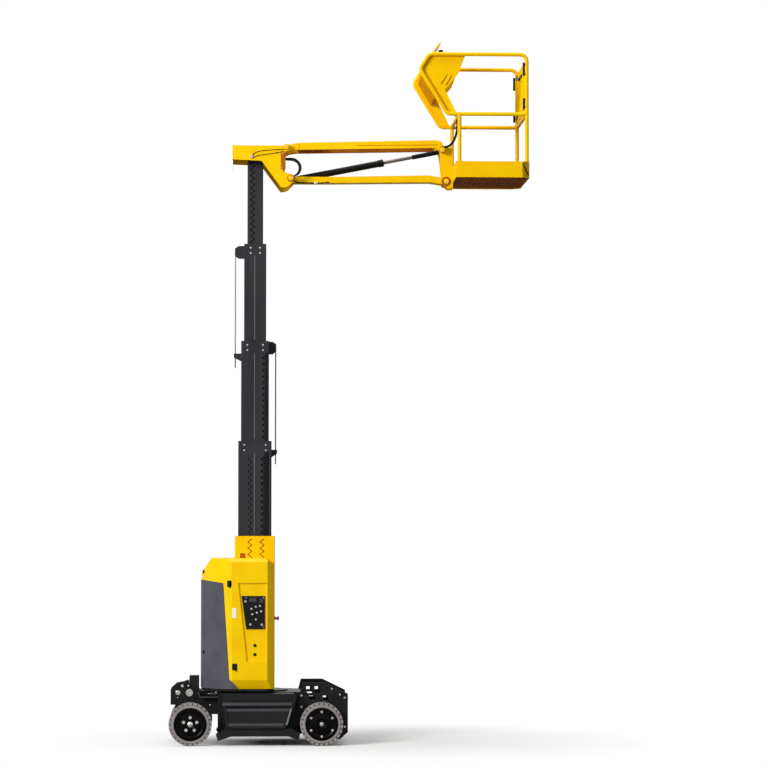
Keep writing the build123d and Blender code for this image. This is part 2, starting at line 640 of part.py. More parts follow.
def notch(side_x, half_x, top, depth):
    """Slot down from a tube's head in the wall on side_x, for the cable fittings that pass inside it."""
    with BuildSketch(end_plane(side_x * half_x)) as slot:
        with Locations((0, top - depth / 2)):
            Rectangle(2 * NOTCH_HALF_WIDTH, depth)
    extrude(slot.sketch, amount=2 * MAST_WALL, both=True, mode=Mode.SUBTRACT)


def saw_seam(x, half_y, z0, z1):
    """Shallow saw-toothed seam up both wide faces of a tube, centred at x."""
    teeth = int((z1 - z0) / TOOTH_PITCH)
    swing = [(x + (-1) ** k * TOOTH_REACH / 2, z0 + k * TOOTH_PITCH / 2) for k in range(2 * teeth + 1)]
    back = [(px + SEAM_WIDTH, pz) for px, pz in reversed(swing)]
    for face in (-half_y, half_y):
        with BuildSketch(side_plane(face)) as seam:
            with BuildLine():
                Polyline(swing + back, close=True)
            make_face()
        extrude(seam.sketch, amount=SEAM_DEPTH, both=True, mode=Mode.SUBTRACT)


def plain_seam(x, half_y, z0, z1):
    """Shallow straight groove up both wide faces of a tube."""
    for face in (-half_y, half_y):
        with BuildSketch(side_plane(face)) as seam:
            with Locations((x, (z0 + z1) / 2)):
                Rectangle(SEAM_WIDTH, z1 - z0)
        extrude(seam.sketch, amount=SEAM_DEPTH, both=True, mode=Mode.SUBTRACT)


def inner_pads(half_x, half_y, next_x, next_y, z):
    """Slide pads inside a tube's head, a hair off the next tube."""
    wall_x = half_x - MAST_WALL
    wall_y = half_y - MAST_WALL
    for sx in (-1, 1):
        for sy in (-1, 1):
            xs = sorted([sx * wall_x, sx * (next_x + PAD_CLEAR)])
            ys = sorted([sy * (next_y - PAD_EDGE), sy * (next_y - PAD_EDGE - PAD_WIDTH)])
            block(xs[0], xs[1], ys[0], ys[1], z, z + PAD_HEIGHT)
            xs = sorted([sx * (next_x - PAD_EDGE), sx * (next_x - PAD_EDGE - PAD_WIDTH)])
            ys = sorted([sy * wall_y, sy * (next_y + PAD_CLEAR)])
            block(xs[0], xs[1], ys[0], ys[1], z, z + PAD_HEIGHT)


def outer_pads(half_x, half_y, last_x, last_y, z):
    """Slide pads outside a tube's foot, a hair off the last tube's inner wall."""
    wall_x = last_x - MAST_WALL - PAD_CLEAR
    wall_y = last_y - MAST_WALL - PAD_CLEAR
    for sx in (-1, 1):
        for sy in (-1, 1):
            xs = sorted([sx * half_x, sx * wall_x])
            ys = sorted([sy * (half_y - PAD_EDGE), sy * (half_y - PAD_EDGE - PAD_WIDTH)])
            block(xs[0], xs[1], ys[0], ys[1], z, z + PAD_HEIGHT)
            xs = sorted([sx * (half_x - PAD_EDGE), sx * (half_x - PAD_EDGE - PAD_WIDTH)])
            ys = sorted([sy * half_y, sy * wall_y])
            block(xs[0], xs[1], ys[0], ys[1], z, z + PAD_HEIGHT)


# Fixed mast section and the four that slide
# side of the notch (+1 towards the basket) and its depth, for each tube from the fixed one up
NOTCHES = [
    [(1, 205), (-1, 180)],
    [(1, 75), (-1, 160)],
    [(-1, 108)],
    [],
    [],
]
# Saw-toothed seams and straight grooves in the tubes' wide faces: name, X, height above the foot of the start
SAW_SEAMS = [
    ("mast_base", -45, 1170),
    ("mast_base", 65, 1170),
    ("mast_section_2", -45, 110),
    ("mast_section_2", 65, 110),
    ("mast_section_3", 88, 110),
    ("mast_section_5", -25, 110),
]
PLAIN_SEAMS = [
    ("mast_section_2", -5, 110),
    ("mast_section_3", -5, 110),
    ("mast_section_4", -5, 110),
]
SEAM_END = 110
# Cable blocks, a sheave between two cheeks at the head of a section: side, cable X, sheave axis below the head
BLOCKS = {
    "mast_section_3": (1, 188, 56),
    "mast_section_4": (-1, -179, 68),
}
# Cable anchors, each with the cable's threaded end below it: side, cable X, drop from the section's head
ANCHORS = {
    "mast_section_2": (1, 188, 76),
    "mast_section_3": (-1, -179, 109),
}
cheek_inner = SHEAVE_WIDTH / 2 + CHEEK_GAP


def cable_block(half_x, side_x, cable_x, axis_z):
    """Two cheeks with a pin between them on a tube's side."""
    axis_x = cable_x - side_x * SHEAVE_R
    low = axis_z - BLOCK_HEIGHT / 2
    high = axis_z + BLOCK_HEIGHT / 2 - BLOCK_HEAD_DROP
    root = side_x * (half_x - 1)
    for sy in (-1, 1):
        slab([(root, low), (axis_x, low), (axis_x + side_x * CHEEK_REACH, axis_z - CHEEK_REACH),
              (axis_x + side_x * CHEEK_REACH, axis_z + CHEEK_REACH), (axis_x, high), (root, high)],
             sy * cheek_inner, sy * (cheek_inner + CHEEK_THICK))
    block(root, side_x * (half_x + BLOCK_BACK), -BLOCK_HALF_WIDTH, BLOCK_HALF_WIDTH, low, high)
    bar_y(axis_x, axis_z, SHEAVE_PIN_R, -cheek_inner - CHEEK_THICK, cheek_inner + CHEEK_THICK)


def cable_anchor(half_x, side_x, cable_x, top_z):
    """Wedge on a tube's side with the cable's threaded end hanging from it."""
    tip_x = cable_x + side_x * ANCHOR_LIP
    root = side_x * (half_x - 1)
    lip_z = top_z - ANCHOR_LENGTH / 2
    slab([(root, top_z), (tip_x, top_z), (tip_x, lip_z), (root, top_z - ANCHOR_LENGTH)],
         -ANCHOR_HALF_WIDTH, ANCHOR_HALF_WIDTH)
    rod_z(cable_x, 0, ANCHOR_TAIL_R, lip_z - ANCHOR_TAIL, lip_z)


for index, (name, half_x, half_y, foot, head) in enumerate(TUBES):
    with BuildPart() as section:
        tube(half_x, half_y, foot, head)
        if index + 1 < len(TUBES):
            following = TUBES[index + 1]
            inner_pads(half_x, half_y, following[1], following[2], head - 20 - PAD_HEIGHT)
        if index > 0:
            last = TUBES[index - 1]
            outer_pads(half_x, half_y, last[1], last[2], foot + 10)
        for side_x, depth in NOTCHES[index]:
            notch(side_x, half_x, head, depth)
        for seam_name, x, start in SAW_SEAMS:
            if seam_name == name:
                saw_seam(x, half_y, foot + start, head - SEAM_END)
        for seam_name, x, start in PLAIN_SEAMS:
            if seam_name == name:
                plain_seam(x, half_y, foot + start, head - SEAM_END)
        if name in BLOCKS:
            side_x, cable_x, drop = BLOCKS[name]
            cable_block(half_x, side_x, cable_x, head - drop)
        if name in ANCHORS:
            side_x, cable_x, drop = ANCHORS[name]
            cable_anchor(half_x, side_x, cable_x, head - drop)
        if index == 0:
            with BuildSketch(side_plane(0)) as window:
                with Locations((WINDOW_X, head - WINDOW_DROP)):
                    Rectangle(WINDOW_WIDTH, WINDOW_HEIGHT)
            extrude(window.sketch, amount=half_y + 1, both=True, mode=Mode.SUBTRACT)
    finish(section, name)

# Sheaves, and the cables that run up to them from the section below
# sheave, the section that carries it, cable, the section that holds the cable's end
SHEAVES = [
    ("sheave_3", "mast_section_3", "lift_cable_2", "mast_section_2"),
    ("sheave_4", "mast_section_4", "lift_cable_3", "mast_section_3"),
]
for sheave_name, block_section, cable_name, anchor_section in SHEAVES:
    side_x, cable_x, drop = BLOCKS[block_section]
    axis_x = cable_x - side_x * SHEAVE_R
    axis_z = HEADS[block_section] - drop
    anchor_z = HEADS[anchor_section] - ANCHORS[anchor_section][2]
    with BuildPart() as sheave:
        with BuildSketch(side_plane(-SHEAVE_WIDTH / 2)):
            with Locations((axis_x, axis_z)):
                Circle(SHEAVE_R)
                Circle(SHEAVE_PIN_R + PIN_CLEAR, mode=Mode.SUBTRACT)
        extrude(amount=-SHEAVE_WIDTH)
        with BuildSketch(plan_plane(axis_z)):
            with BuildLine():
                Polyline((cable_x - side_x * GROOVE_DEPTH, 0), (cable_x + side_x, GROOVE_HALF_WIDTH),
                         (cable_x + side_x, -GROOVE_HALF_WIDTH), close=True)
            make_face()
        revolve(axis=Axis((SLEW_X + axis_x, 0, axis_z), (0, 1, 0)), mode=Mode.SUBTRACT)
    finish(sheave, sheave_name)
    with BuildPart() as cable:
        rod_z(cable_x, 0, CABLE_R, anchor_z, axis_z)
    finish(cable, cable_name)

# Head bracket: folded box over the mast, open below, with two cheeks that carry the jib's pivots
HEAD_SKIRT = 128
HEAD_WEB_HEIGHT = 299
HEAD_CHEEK = shifted((0, HEAD_TOP_Z), [(HEAD_REAR_X, 0), (308, 0), (310, -37), (250, -69), (250, -234),
                                       (352, -274), (352, -314), (300, -369), (262, -381), (231, -381),
                                       (54, -140), (HEAD_REAR_X, -HEAD_SKIRT)])
with BuildPart() as head:
    block(HEAD_REAR_X, HEAD_WEB_X + HEAD_PLATE, -HEAD_CHEEK_Y, HEAD_CHEEK_Y, HEAD_TOP_Z - HEAD_PLATE,
          HEAD_TOP_Z)
    for side in SIDES.values():
        ends = sorted([side * HEAD_CHEEK_Y, side * (HEAD_CHEEK_Y + HEAD_PLATE)])
        slab(HEAD_CHEEK, ends[0], ends[1])
    for x, height in ((HEAD_REAR_X, HEAD_SKIRT), (HEAD_WEB_X, HEAD_WEB_HEIGHT)):
        block(x, x + HEAD_PLATE, -HEAD_CHEEK_Y, HEAD_CHEEK_Y, HEAD_TOP_Z - height, HEAD_TOP_Z)
    for x, z in (PIVOT_A, PIVOT_B):
        bar_y(x, z, PIVOT_PIN_R, -HEAD_CHEEK_Y - HEAD_PLATE - 8, HEAD_CHEEK_Y + HEAD_PLATE + 8)
finish(head, "head_bracket")

# Jib: two outer boom rails above, two lower arm bars, kept parallel by their four pivots
BOOM_OUTLINE = shifted(PIVOT_B, [(-28, -23), (-28, 20), (107, 47)])
BOOM_OUTLINE += shifted(PIVOT_C, [(-53, 88), (-10, 77), (26, 20), (26, -17), (-10, -25), (-60, 17)])
BOOM_OUTLINE += shifted(PIVOT_B, [(107, -17), (20, -31)])
BOOM_INNER_Y = BOOM_OUTER_Y - BOOM_RAIL_WIDTH
BOOM_WEB = 6
with BuildPart() as boom:
    for side in SIDES.values():
        ends = sorted([side * BOOM_OUTER_Y, side * BOOM_INNER_Y])
        slab(BOOM_OUTLINE, ends[0], ends[1])
    web_z = PIVOT_B[1] + 27
    block(PIVOT_B[0] + 50, PIVOT_B[0] + 340, -BOOM_INNER_Y, BOOM_INNER_Y, web_z, web_z + BOOM_WEB)
    bar_y(PIVOT_B[0], PIVOT_B[1], PIVOT_EYE_R, -HEAD_CHEEK_Y + SIDE_CLEAR, HEAD_CHEEK_Y - SIDE_CLEAR)
    for x, z in (PIVOT_B, PIVOT_C):
        bar_y(x, z, PIVOT_PIN_R + PIN_CLEAR, -HEAD_CHEEK_Y, HEAD_CHEEK_Y, mode=Mode.SUBTRACT)
finish(boom, "jib_boom")

ARM_OUTLINE = shifted(PIVOT_A, [(-30, -23), (-30, 23), (-4, 29), (357, 28)])
ARM_OUTLINE += shifted(PIVOT_D, [(-152, 57), (0, 29), (28, 17), (28, -17), (0, -28), (-152, -5)])
ARM_OUTLINE += shifted(PIVOT_A, [(357, -27), (-4, -28)])
ARM_WEB = shifted(PIVOT_A, [(130, -27), (130, -21), (357, -21)])
ARM_WEB += shifted(PIVOT_D, [(-152, 1), (-100, 1), (-100, -11), (-152, -5)])
ARM_WEB += shifted(PIVOT_A, [(357, -27)])
ARM_INNER_Y = ARM_OUTER_Y - ARM_BAR_WIDTH
with BuildPart() as arm:
    for side in SIDES.values():
        ends = sorted([side * ARM_OUTER_Y, side * ARM_INNER_Y])
        slab(ARM_OUTLINE, ends[0], ends[1])
        ends = sorted([side * ARM_INNER_Y, side * (HEAD_CHEEK_Y - SIDE_CLEAR)])
        bar_y(PIVOT_A[0], PIVOT_A[1], PIVOT_EYE_R, ends[0], ends[1])
    slab(ARM_WEB, -ARM_INNER_Y, ARM_INNER_Y)
    for x, z in (PIVOT_A, PIVOT_D):
        bar_y(x, z, PIVOT_PIN_R + PIN_CLEAR, -HEAD_CHEEK_Y, HEAD_CHEEK_Y, mode=Mode.SUBTRACT)
finish(arm, "jib_arm")

# Jib cylinder on the diagonal from the lower inner pivot to the upper outer one
RUN_X = PIVOT_C[0] - PIVOT_A[0]
RUN_Z = PIVOT_C[1] - PIVOT_A[1]
CYLINDER_SPAN = math.hypot(RUN_X, RUN_Z)


def cylinder_plane(distance):
    """Stands on the cylinder's line, distance from its lower pivot, facing along it."""
    along = (RUN_X / CYLINDER_SPAN, 0, RUN_Z / CYLINDER_SPAN)
    place = (SLEW_X + PIVOT_A[0] + along[0] * distance, 0, PIVOT_A[1] + along[2] * distance)
    return Plane(origin=place, x_dir=(0, 1, 0), z_dir=along)


with BuildPart() as cylinder:
    with BuildSketch(cylinder_plane(CYLINDER_START)) as barrel:
        Circle(CYLINDER_R)
    extrude(amount=CYLINDER_END - CYLINDER_START)
    with BuildSketch(cylinder_plane(0)) as neck:
        Rectangle(2 * EYE_HALF_WIDTH, 2 * EYE_R - 12)
    extrude(amount=CYLINDER_START + 6)
    bar_y(PIVOT_A[0], PIVOT_A[1], EYE_R, -EYE_HALF_WIDTH, EYE_HALF_WIDTH)
    bar_y(PIVOT_A[0], PIVOT_A[1], PIVOT_PIN_R + PIN_CLEAR, -EYE_HALF_WIDTH, EYE_HALF_WIDTH, mode=Mode.SUBTRACT)
    with BuildSketch(cylinder_plane(ROD_BUTT - 1)) as bore:
        Circle(ROD_R + PIN_CLEAR)
    extrude(amount=CYLINDER_END - ROD_BUTT + 2, mode=Mode.SUBTRACT)
finish(cylinder, "jib_cylinder")

with BuildPart() as rod:
    with BuildSketch(cylinder_plane(ROD_START)) as shaft:
        Circle(ROD_R)
    extrude(amount=CYLINDER_SPAN - ROD_START - EYE_R + 8)
    bar_y(PIVOT_C[0], PIVOT_C[1], EYE_R, -EYE_HALF_WIDTH, EYE_HALF_WIDTH)
finish(rod, "jib_cylinder_rod")

# Carrier: two plates that hold the basket on the jib's outer pivots
CARRIER_OUTLINE = [(PIVOT_C[0] - 24, PIVOT_C[1] - 15), (PIVOT_C[0] - 24, CARRIER_TOP_Z),
                   (BASKET_REAR_X, CARRIER_TOP_Z), (BASKET_REAR_X, CARRIER_FOOT_Z),
                   (PIVOT_D[0] + 12, CARRIER_FOOT_Z), (PIVOT_D[0] - 32, PIVOT_D[1] - 15)]
CARRIER_WEB = 8
with BuildPart() as carrier:
    for side in SIDES.values():
        ends = sorted([side * CARRIER_PLATE_Y, side * (CARRIER_PLATE_Y + CARRIER_PLATE)])
        slab(CARRIER_OUTLINE, ends[0], ends[1])
        ends = sorted([side * CARRIER_PLATE_Y, side * (BOOM_OUTER_Y + 8)])
        bar_y(PIVOT_C[0], PIVOT_C[1], PIVOT_PIN_R, ends[0], ends[1])
    bar_y(PIVOT_D[0], PIVOT_D[1], PIVOT_PIN_R, -CARRIER_PLATE_Y, CARRIER_PLATE_Y)
    block(BASKET_REAR_X - CARRIER_WEB, BASKET_REAR_X, -CARRIER_PLATE_Y, CARRIER_PLATE_Y, CARRIER_FOOT_Z,
          PIVOT_C[1] - 45)
finish(carrier, "basket_carrier")

# Basket floor with its front corners cut, and the toe board that rims it
FLOOR_PLAN = [(BASKET_REAR_X, -BASKET_HALF_WIDTH), (BASKET_FRONT_X - CORNER_CUT, -BASKET_HALF_WIDTH),
              (BASKET_FRONT_X, -BASKET_HALF_WIDTH + CORNER_CUT),
              (BASKET_FRONT_X, BASKET_HALF_WIDTH - CORNER_CUT),
              (BASKET_FRONT_X - CORNER_CUT, BASKET_HALF_WIDTH), (BASKET_REAR_X, BASKET_HALF_WIDTH)]
with BuildPart() as floor:
    with BuildSketch(plan_plane(BASKET_FLOOR_Z)) as plan:
        with BuildLine():
            Polyline(FLOOR_PLAN, close=True)
        make_face()
        offset(amount=-TOE_WALL, kind=Kind.INTERSECTION, mode=Mode.REPLACE)
    extrude(amount=FLOOR_THICK)
finish(floor, "basket_floor")

with BuildPart() as toe_board:
    with BuildSketch(plan_plane(TOE_BOTTOM_Z)) as plan:
        with BuildLine():
            Polyline(FLOOR_PLAN, close=True)
        make_face()
        offset(amount=-TOE_WALL, kind=Kind.INTERSECTION, mode=Mode.SUBTRACT)
    extrude(amount=TOE_HEIGHT)
finish(toe_board, "toe_board")

# Guard rails: each side is one bent tube, from the front post over the top, down behind and along the middle
RAIL_PATH = [(FRONT_POST_X, TOE_TOP_Z), (FRONT_POST_X, TOP_RAIL_Z), rail_point(-240, 1), rail_point(-325, 0.745),
             rail_point(-78, 0), (FRONT_POST_X - RAIL_R, MID_RAIL_Z)]
with BuildPart() as rails:
    for side in SIDES.values():
        with BuildLine(side_plane(side * RAIL_Y)) as path:
            FilletPolyline(*RAIL_PATH, radius=FRONT_BEND_R)
        with BuildSketch(Plane(origin=path.line @ 0, z_dir=path.line % 0)):
            Circle(RAIL_R)
        sweep()
        rod_z(REAR_POST_X, side * RAIL_Y, RAIL_R, TOE_TOP_Z, MID_RAIL_Z)
        for x in (REAR_POST_X, FRONT_POST_X):
            rod_z(x, side * RAIL_Y, POST_FOOT_R, TOE_TOP_Z, TOE_TOP_Z + POST_FOOT)
        for level in (GATE_Z0 - GATE_LUG, GATE_Z1):
            block(FRONT_POST_X - GATE_LUG_HALF, FRONT_POST_X + GATE_LUG_HALF,
                  side * (GATE_HINGE_Y - GATE_LUG_HALF), side * RAIL_Y, level, level + GATE_LUG)
        rod_z(FRONT_POST_X, side * GATE_HINGE_Y, GATE_PIN_R, GATE_Z0 - GATE_LUG, GATE_Z0 + GATE_PIN_LENGTH)
        rod_z(FRONT_POST_X, side * GATE_HINGE_Y, GATE_PIN_R, GATE_Z1 - GATE_PIN_LENGTH, GATE_Z1 + GATE_LUG)
    for x in (REAR_POST_X, FRONT_POST_X):
        bar_y(x, MID_RAIL_Z, RAIL_R, -RAIL_Y, RAIL_Y)
finish(rails, "guard_rails")

# Yellow plates beside the console, and the console between them
SIDE_PLATE_OUTLINE = [rail_point(84, 0.974), rail_point(-230, 0.974), rail_point(-312, 0.739),
                      rail_point(-78, 0.022), rail_point(6, 0.022), rail_point(-97, 0.412), rail_point(25, 0.682)]
# lower and upper end of each slanted slot
SLOTS = [
    (rail_point(-136, 0.497), rail_point(-79, 0.665)),
    (rail_point(-92, 0.481), rail_point(-38, 0.647)),
]
PLATE_OUTER_Y = RAIL_Y - RAIL_R - WELD_GAP
for side_name, side in SIDES.items():
    with BuildPart() as side_plate:
        slab(SIDE_PLATE_OUTLINE, side * PLATE_OUTER_Y, side * (PLATE_OUTER_Y - SIDE_PLATE))
        for (low_x, low_z), (high_x, high_z) in SLOTS:
            slab([(low_x, low_z), (high_x, high_z), (high_x + SLOT_WIDTH, high_z), (low_x + SLOT_WIDTH, low_z)],
                 side * (PLATE_OUTER_Y + 1), side * (PLATE_OUTER_Y - SIDE_PLATE - 1), mode=Mode.SUBTRACT)
    finish(side_plate, f"side_plate_{side_name}")

CONSOLE_HALF_WIDTH = PLATE_OUTER_Y - SIDE_PLATE - WELD_GAP
CONSOLE_TOP_Z = TOP_RAIL_Z - 13
CONSOLE_OUTLINE = [(BASKET_REAR_X - 248, CONSOLE_TOP_Z), rail_point(-290, 0.739), rail_point(-170, 0.37),
                   rail_point(-128, 0.403), rail_point(-100, 0.884), (BASKET_REAR_X - 100, CONSOLE_TOP_Z)]
JOYSTICK_X = BASKET_REAR_X - 120
with BuildPart() as console:
    slab(CONSOLE_OUTLINE, -CONSOLE_HALF_WIDTH, CONSOLE_HALF_WIDTH)
    rod_z(JOYSTICK_X, JOYSTICK_Y, JOYSTICK_STEM_R, CONSOLE_TOP_Z - 1, CONSOLE_TOP_Z + 61)
    rod_z(JOYSTICK_X, JOYSTICK_Y, JOYSTICK_KNOB_R, CONSOLE_TOP_Z + 60, CONSOLE_TOP_Z + 94)
finish(console, "platform_console")

SHIELD_OUTLINE = shifted((BASKET_REAR_X, CONSOLE_TOP_Z),
                         [(-244, 0), (-228, 0), (-114, 163), (-123, 170), (-244, 8)])
with BuildPart() as shield:
    slab(SHIELD_OUTLINE, -SHIELD_HALF_WIDTH, SHIELD_HALF_WIDTH)
finish(shield, "console_shield")

# Saloon gates between the front posts, each on two short pins
for side_name, side in SIDES.items():
    with BuildPart() as gate:
        block(FRONT_POST_X - GATE_THICK / 2, FRONT_POST_X + GATE_THICK / 2, side * GATE_SPLIT / 2,
              side * GATE_HINGE_Y, GATE_Z0 + GATE_AIR, GATE_Z1 - GATE_AIR)
        rod_z(FRONT_POST_X, side * GATE_HINGE_Y, GATE_HINGE_R, GATE_Z0 + GATE_AIR, GATE_Z1 - GATE_AIR)
        rod_z(FRONT_POST_X, side * GATE_HINGE_Y, GATE_PIN_R + PIN_CLEAR, GATE_Z0, GATE_Z1, mode=Mode.SUBTRACT)
    finish(gate, f"gate_{side_name}")
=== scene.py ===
import bpy
import bmesh
import json
import math
from mathutils import Matrix, Vector


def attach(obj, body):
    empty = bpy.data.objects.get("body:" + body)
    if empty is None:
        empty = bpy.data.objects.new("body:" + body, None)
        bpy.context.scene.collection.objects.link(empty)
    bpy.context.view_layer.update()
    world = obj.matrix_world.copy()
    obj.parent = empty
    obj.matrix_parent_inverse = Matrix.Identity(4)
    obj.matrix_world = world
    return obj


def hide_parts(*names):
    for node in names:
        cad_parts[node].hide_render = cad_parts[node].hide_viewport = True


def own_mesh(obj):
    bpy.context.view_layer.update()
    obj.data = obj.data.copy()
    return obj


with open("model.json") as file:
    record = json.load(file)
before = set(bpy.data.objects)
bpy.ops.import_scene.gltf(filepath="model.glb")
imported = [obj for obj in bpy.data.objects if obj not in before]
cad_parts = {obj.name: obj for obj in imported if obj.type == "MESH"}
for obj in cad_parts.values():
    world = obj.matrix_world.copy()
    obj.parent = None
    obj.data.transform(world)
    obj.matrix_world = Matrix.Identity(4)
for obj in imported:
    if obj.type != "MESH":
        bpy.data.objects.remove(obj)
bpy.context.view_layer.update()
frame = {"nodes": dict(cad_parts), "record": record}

# X of the slewing axis in the frame, in metres
SLEW_X = -0.851


def at(x, y, z):
    """A place in metres from millimetres measured off the slewing axis, the mid plane and the ground."""
    return Vector((SLEW_X + x / 1000, y / 1000, z / 1000))


def placed(x, y, z):
    """Matrix that moves a mesh to a place in millimetres."""
    return Matrix.Translation(at(x, y, z))


# Camera at the photo's angle
camera = bpy.data.objects.new("camera", bpy.data.cameras.new("camera"))
bpy.context.scene.collection.objects.link(camera)
camera.data.lens = 144.4
camera.data.sensor_width = 36
camera.data.clip_end = 200
camera.location = (SLEW_X - 0.225, -28.0, 1.918)
camera.rotation_euler = (math.radians(92.714), 0, math.radians(-2.862))
bpy.context.scene.camera = camera
bpy.context.scene.view_settings.view_transform = "Standard"


# Finishes: scales of the clouds and smears in a coat, and how strongly its grain shows
CLOUD_SCALE = 5.0
SMEAR_SCALE = 26.0
GRAIN_STRENGTH = 0.25


def new_finish(name):
    """Empty material with its node tree and shader."""
    finish = bpy.data.materials.new(name)
    finish.use_nodes = True
    shader = finish.node_tree.nodes["Principled BSDF"]
    return finish, finish.node_tree, shader


def added(tree, kind, values, operation=None):
    """New node; each input named or numbered is given a value or linked from another node's output."""
    node = tree.nodes.new(kind)
    if operation is not None:
        node.operation = operation
    for label, value in values.items():
        if isinstance(value, bpy.types.NodeSocket):
            tree.links.new(value, node.inputs[label])
        else:
            node.inputs[label].default_value = value
    return node


def object_noise(tree, scale, detail=3.0, stretch=(1, 1, 1)):
    """Noise over the object's own coordinates."""
    place = tree.nodes.new("ShaderNodeTexCoord")
    mapping = added(tree, "ShaderNodeMapping", {"Vector": place.outputs["Object"], "Scale": stretch})
    grain = {"Vector": mapping.outputs["Vector"], "Scale": scale, "Detail": detail}
    return added(tree, "ShaderNodeTexNoise", grain).outputs["Fac"]


def remap(tree, value, low, high, out_low, out_high):
    """Stretches a value from one range to another, clamped."""
    ranges = {"Value": value, "From Min": low, "From Max": high, "To Min": out_low, "To Max": out_high}
    return added(tree, "ShaderNodeMapRange", ranges).outputs["Result"]


def blend_colours(tree, share, first, second):
    """Mixes two colours by a share."""
    mix = tree.nodes.new("ShaderNodeMix")
    mix.data_type = "RGBA"
    mix.inputs["A"].default_value = (*first, 1)
    mix.inputs["B"].default_value = (*second, 1)
    tree.links.new(share, mix.inputs["Factor"])
    return mix.outputs["Result"]


def add_bump(tree, shader, height, strength, distance):
    """Turns a height into the surface's small relief."""
    bump = added(tree, "ShaderNodeBump", {"Height": height, "Strength": strength, "Distance": distance})
    tree.links.new(bump.outputs["Normal"], shader.inputs["Normal"])


def coated_finish(name, colour, worn, rough, grain=700.0, relief=0.0002, coat=0.0, metal=0.0, shine=0.3,
                  stretch=(1, 1, 1)):
    """Painted or moulded surface: cloudy colour, uneven gloss and a fine grain."""
    finish, tree, shader = new_finish(name)
    clouds = remap(tree, object_noise(tree, CLOUD_SCALE, 5.0, stretch), 0.42, 0.75, 0, 1)
    tree.links.new(blend_colours(tree, clouds, colour, worn), shader.inputs["Base Color"])
    smears = object_noise(tree, SMEAR_SCALE, 4.0, stretch)
    tree.links.new(remap(tree, smears, 0.3, 0.7, rough - 0.06, rough + 0.08), shader.inputs["Roughness"])
    add_bump(tree, shader, object_noise(tree, grain, 2.0, stretch), GRAIN_STRENGTH, relief)
    shader.inputs["Metallic"].default_value = metal
    shader.inputs["Specular IOR Level"].default_value = shine
    shader.inputs["Coat Weight"].default_value = coat
    shader.inputs["Coat Roughness"].default_value = 0.15
    return finish


# Finish of each material slot: first colour, worn colour and roughness, then what departs from the usual
FINISHES = {
    "yellow_paint": coated_finish("yellow_powder_coat", (1.0, 0.60, 0.0), (0.96, 0.52, 0.0), 0.42,
                                  shine=0.07),
    "yellow_hood": coated_finish("yellow_moulded_hood", (1.0, 0.64, 0.0), (0.97, 0.55, 0.0), 0.32, grain=420,
                                 shine=0.12),
    "grey_hood": coated_finish("grey_moulded_cover", (0.088, 0.087, 0.104), (0.062, 0.062, 0.075), 0.5,
                               grain=520, relief=0.0004, shine=0.12),
    "mast_paint": coated_finish("charcoal_mast_enamel", (0.036, 0.037, 0.041), (0.023, 0.024, 0.027), 0.42,
                                shine=0.08, stretch=(1, 1, 0.12)),
    "chassis_black": coated_finish("black_chassis_enamel", (0.011, 0.011, 0.012), (0.021, 0.020, 0.020), 0.38,
                                   shine=0.1),
    "cover_plastic": coated_finish("black_moulded_cover", (0.014, 0.015, 0.015), (0.020, 0.020, 0.020), 0.4,
                                   grain=380, relief=0.0004, shine=0.12),
    "tyre_rubber": coated_finish("pale_non_marking_rubber", (0.33, 0.30, 0.29), (0.20, 0.18, 0.175), 0.75,
                                 grain=260, relief=0.0005, shine=0.15),
    "wheel_black": coated_finish("black_wheel_enamel", (0.003, 0.0025, 0.0025), (0.006, 0.005, 0.005), 0.25,
                                 shine=0.06),
    "ballast_iron": coated_finish("cast_iron", (0.09, 0.09, 0.09), (0.06, 0.055, 0.05), 0.7, grain=120,
                                  relief=0.001),
    "battery_case": coated_finish("battery_black", (0.03, 0.03, 0.03), (0.04, 0.04, 0.04), 0.5),
    "panel_black": coated_finish("matt_black_panel", (0.009, 0.009, 0.010), (0.015, 0.015, 0.016), 0.45,
                                 shine=0.1),
    "stop_red": coated_finish("red_button", (0.42, 0.012, 0.012), (0.3, 0.01, 0.01), 0.3, coat=0.4),
    "sheave_steel": coated_finish("oiled_sheave_steel", (0.2, 0.2, 0.2), (0.1, 0.095, 0.09), 0.35, metal=1.0),
    "cable_steel": coated_finish("wire_rope_steel", (0.34, 0.34, 0.35), (0.24, 0.24, 0.25), 0.5, grain=900,
                                 metal=0.3),
    "cylinder_black": coated_finish("black_cylinder_enamel", (0.004, 0.004, 0.005), (0.009, 0.009, 0.009),
                                    0.3, shine=0.12),
    "rod_chrome": coated_finish("dulled_chrome", (0.20, 0.18, 0.19), (0.13, 0.12, 0.12), 0.34, metal=0.6,
                                stretch=(0.1, 1, 1)),
}

# Finishes of the pieces that this script adds
SEAM_DARK = coated_finish("seam_shadow_black", (0.004, 0.004, 0.005), (0.009, 0.009, 0.009), 0.6, shine=0.1)
SEAM_BROWN = coated_finish("seam_shadow_brown", (0.36, 0.09, 0.002), (0.26, 0.055, 0.002), 0.6, shine=0.1)
SLOT_SHADE = coated_finish("slot_shade", (0.045, 0.016, 0.001), (0.03, 0.011, 0.001), 0.7, shine=0.1)
SEAM_PALE = coated_finish("seam_edge_grey", (0.2, 0.2, 0.21), (0.13, 0.13, 0.14), 0.4)
ZINC = coated_finish("zinc_plated_steel", (0.66, 0.64, 0.6), (0.45, 0.43, 0.4), 0.32, metal=1.0)
HOSE_RUBBER = coated_finish("hose_rubber", (0.006, 0.006, 0.006), (0.012, 0.012, 0.012), 0.5, grain=300,
                            relief=0.0004, shine=0.1)
WHITE_PLATE = coated_finish("white_plate", (0.92, 0.92, 0.9), (0.84, 0.84, 0.82), 0.4)
TREAD_GAP = coated_finish("tread_gap_rubber", (0.07, 0.062, 0.06), (0.045, 0.04, 0.038), 0.85, grain=260,
                          relief=0.0006, shine=0.1)
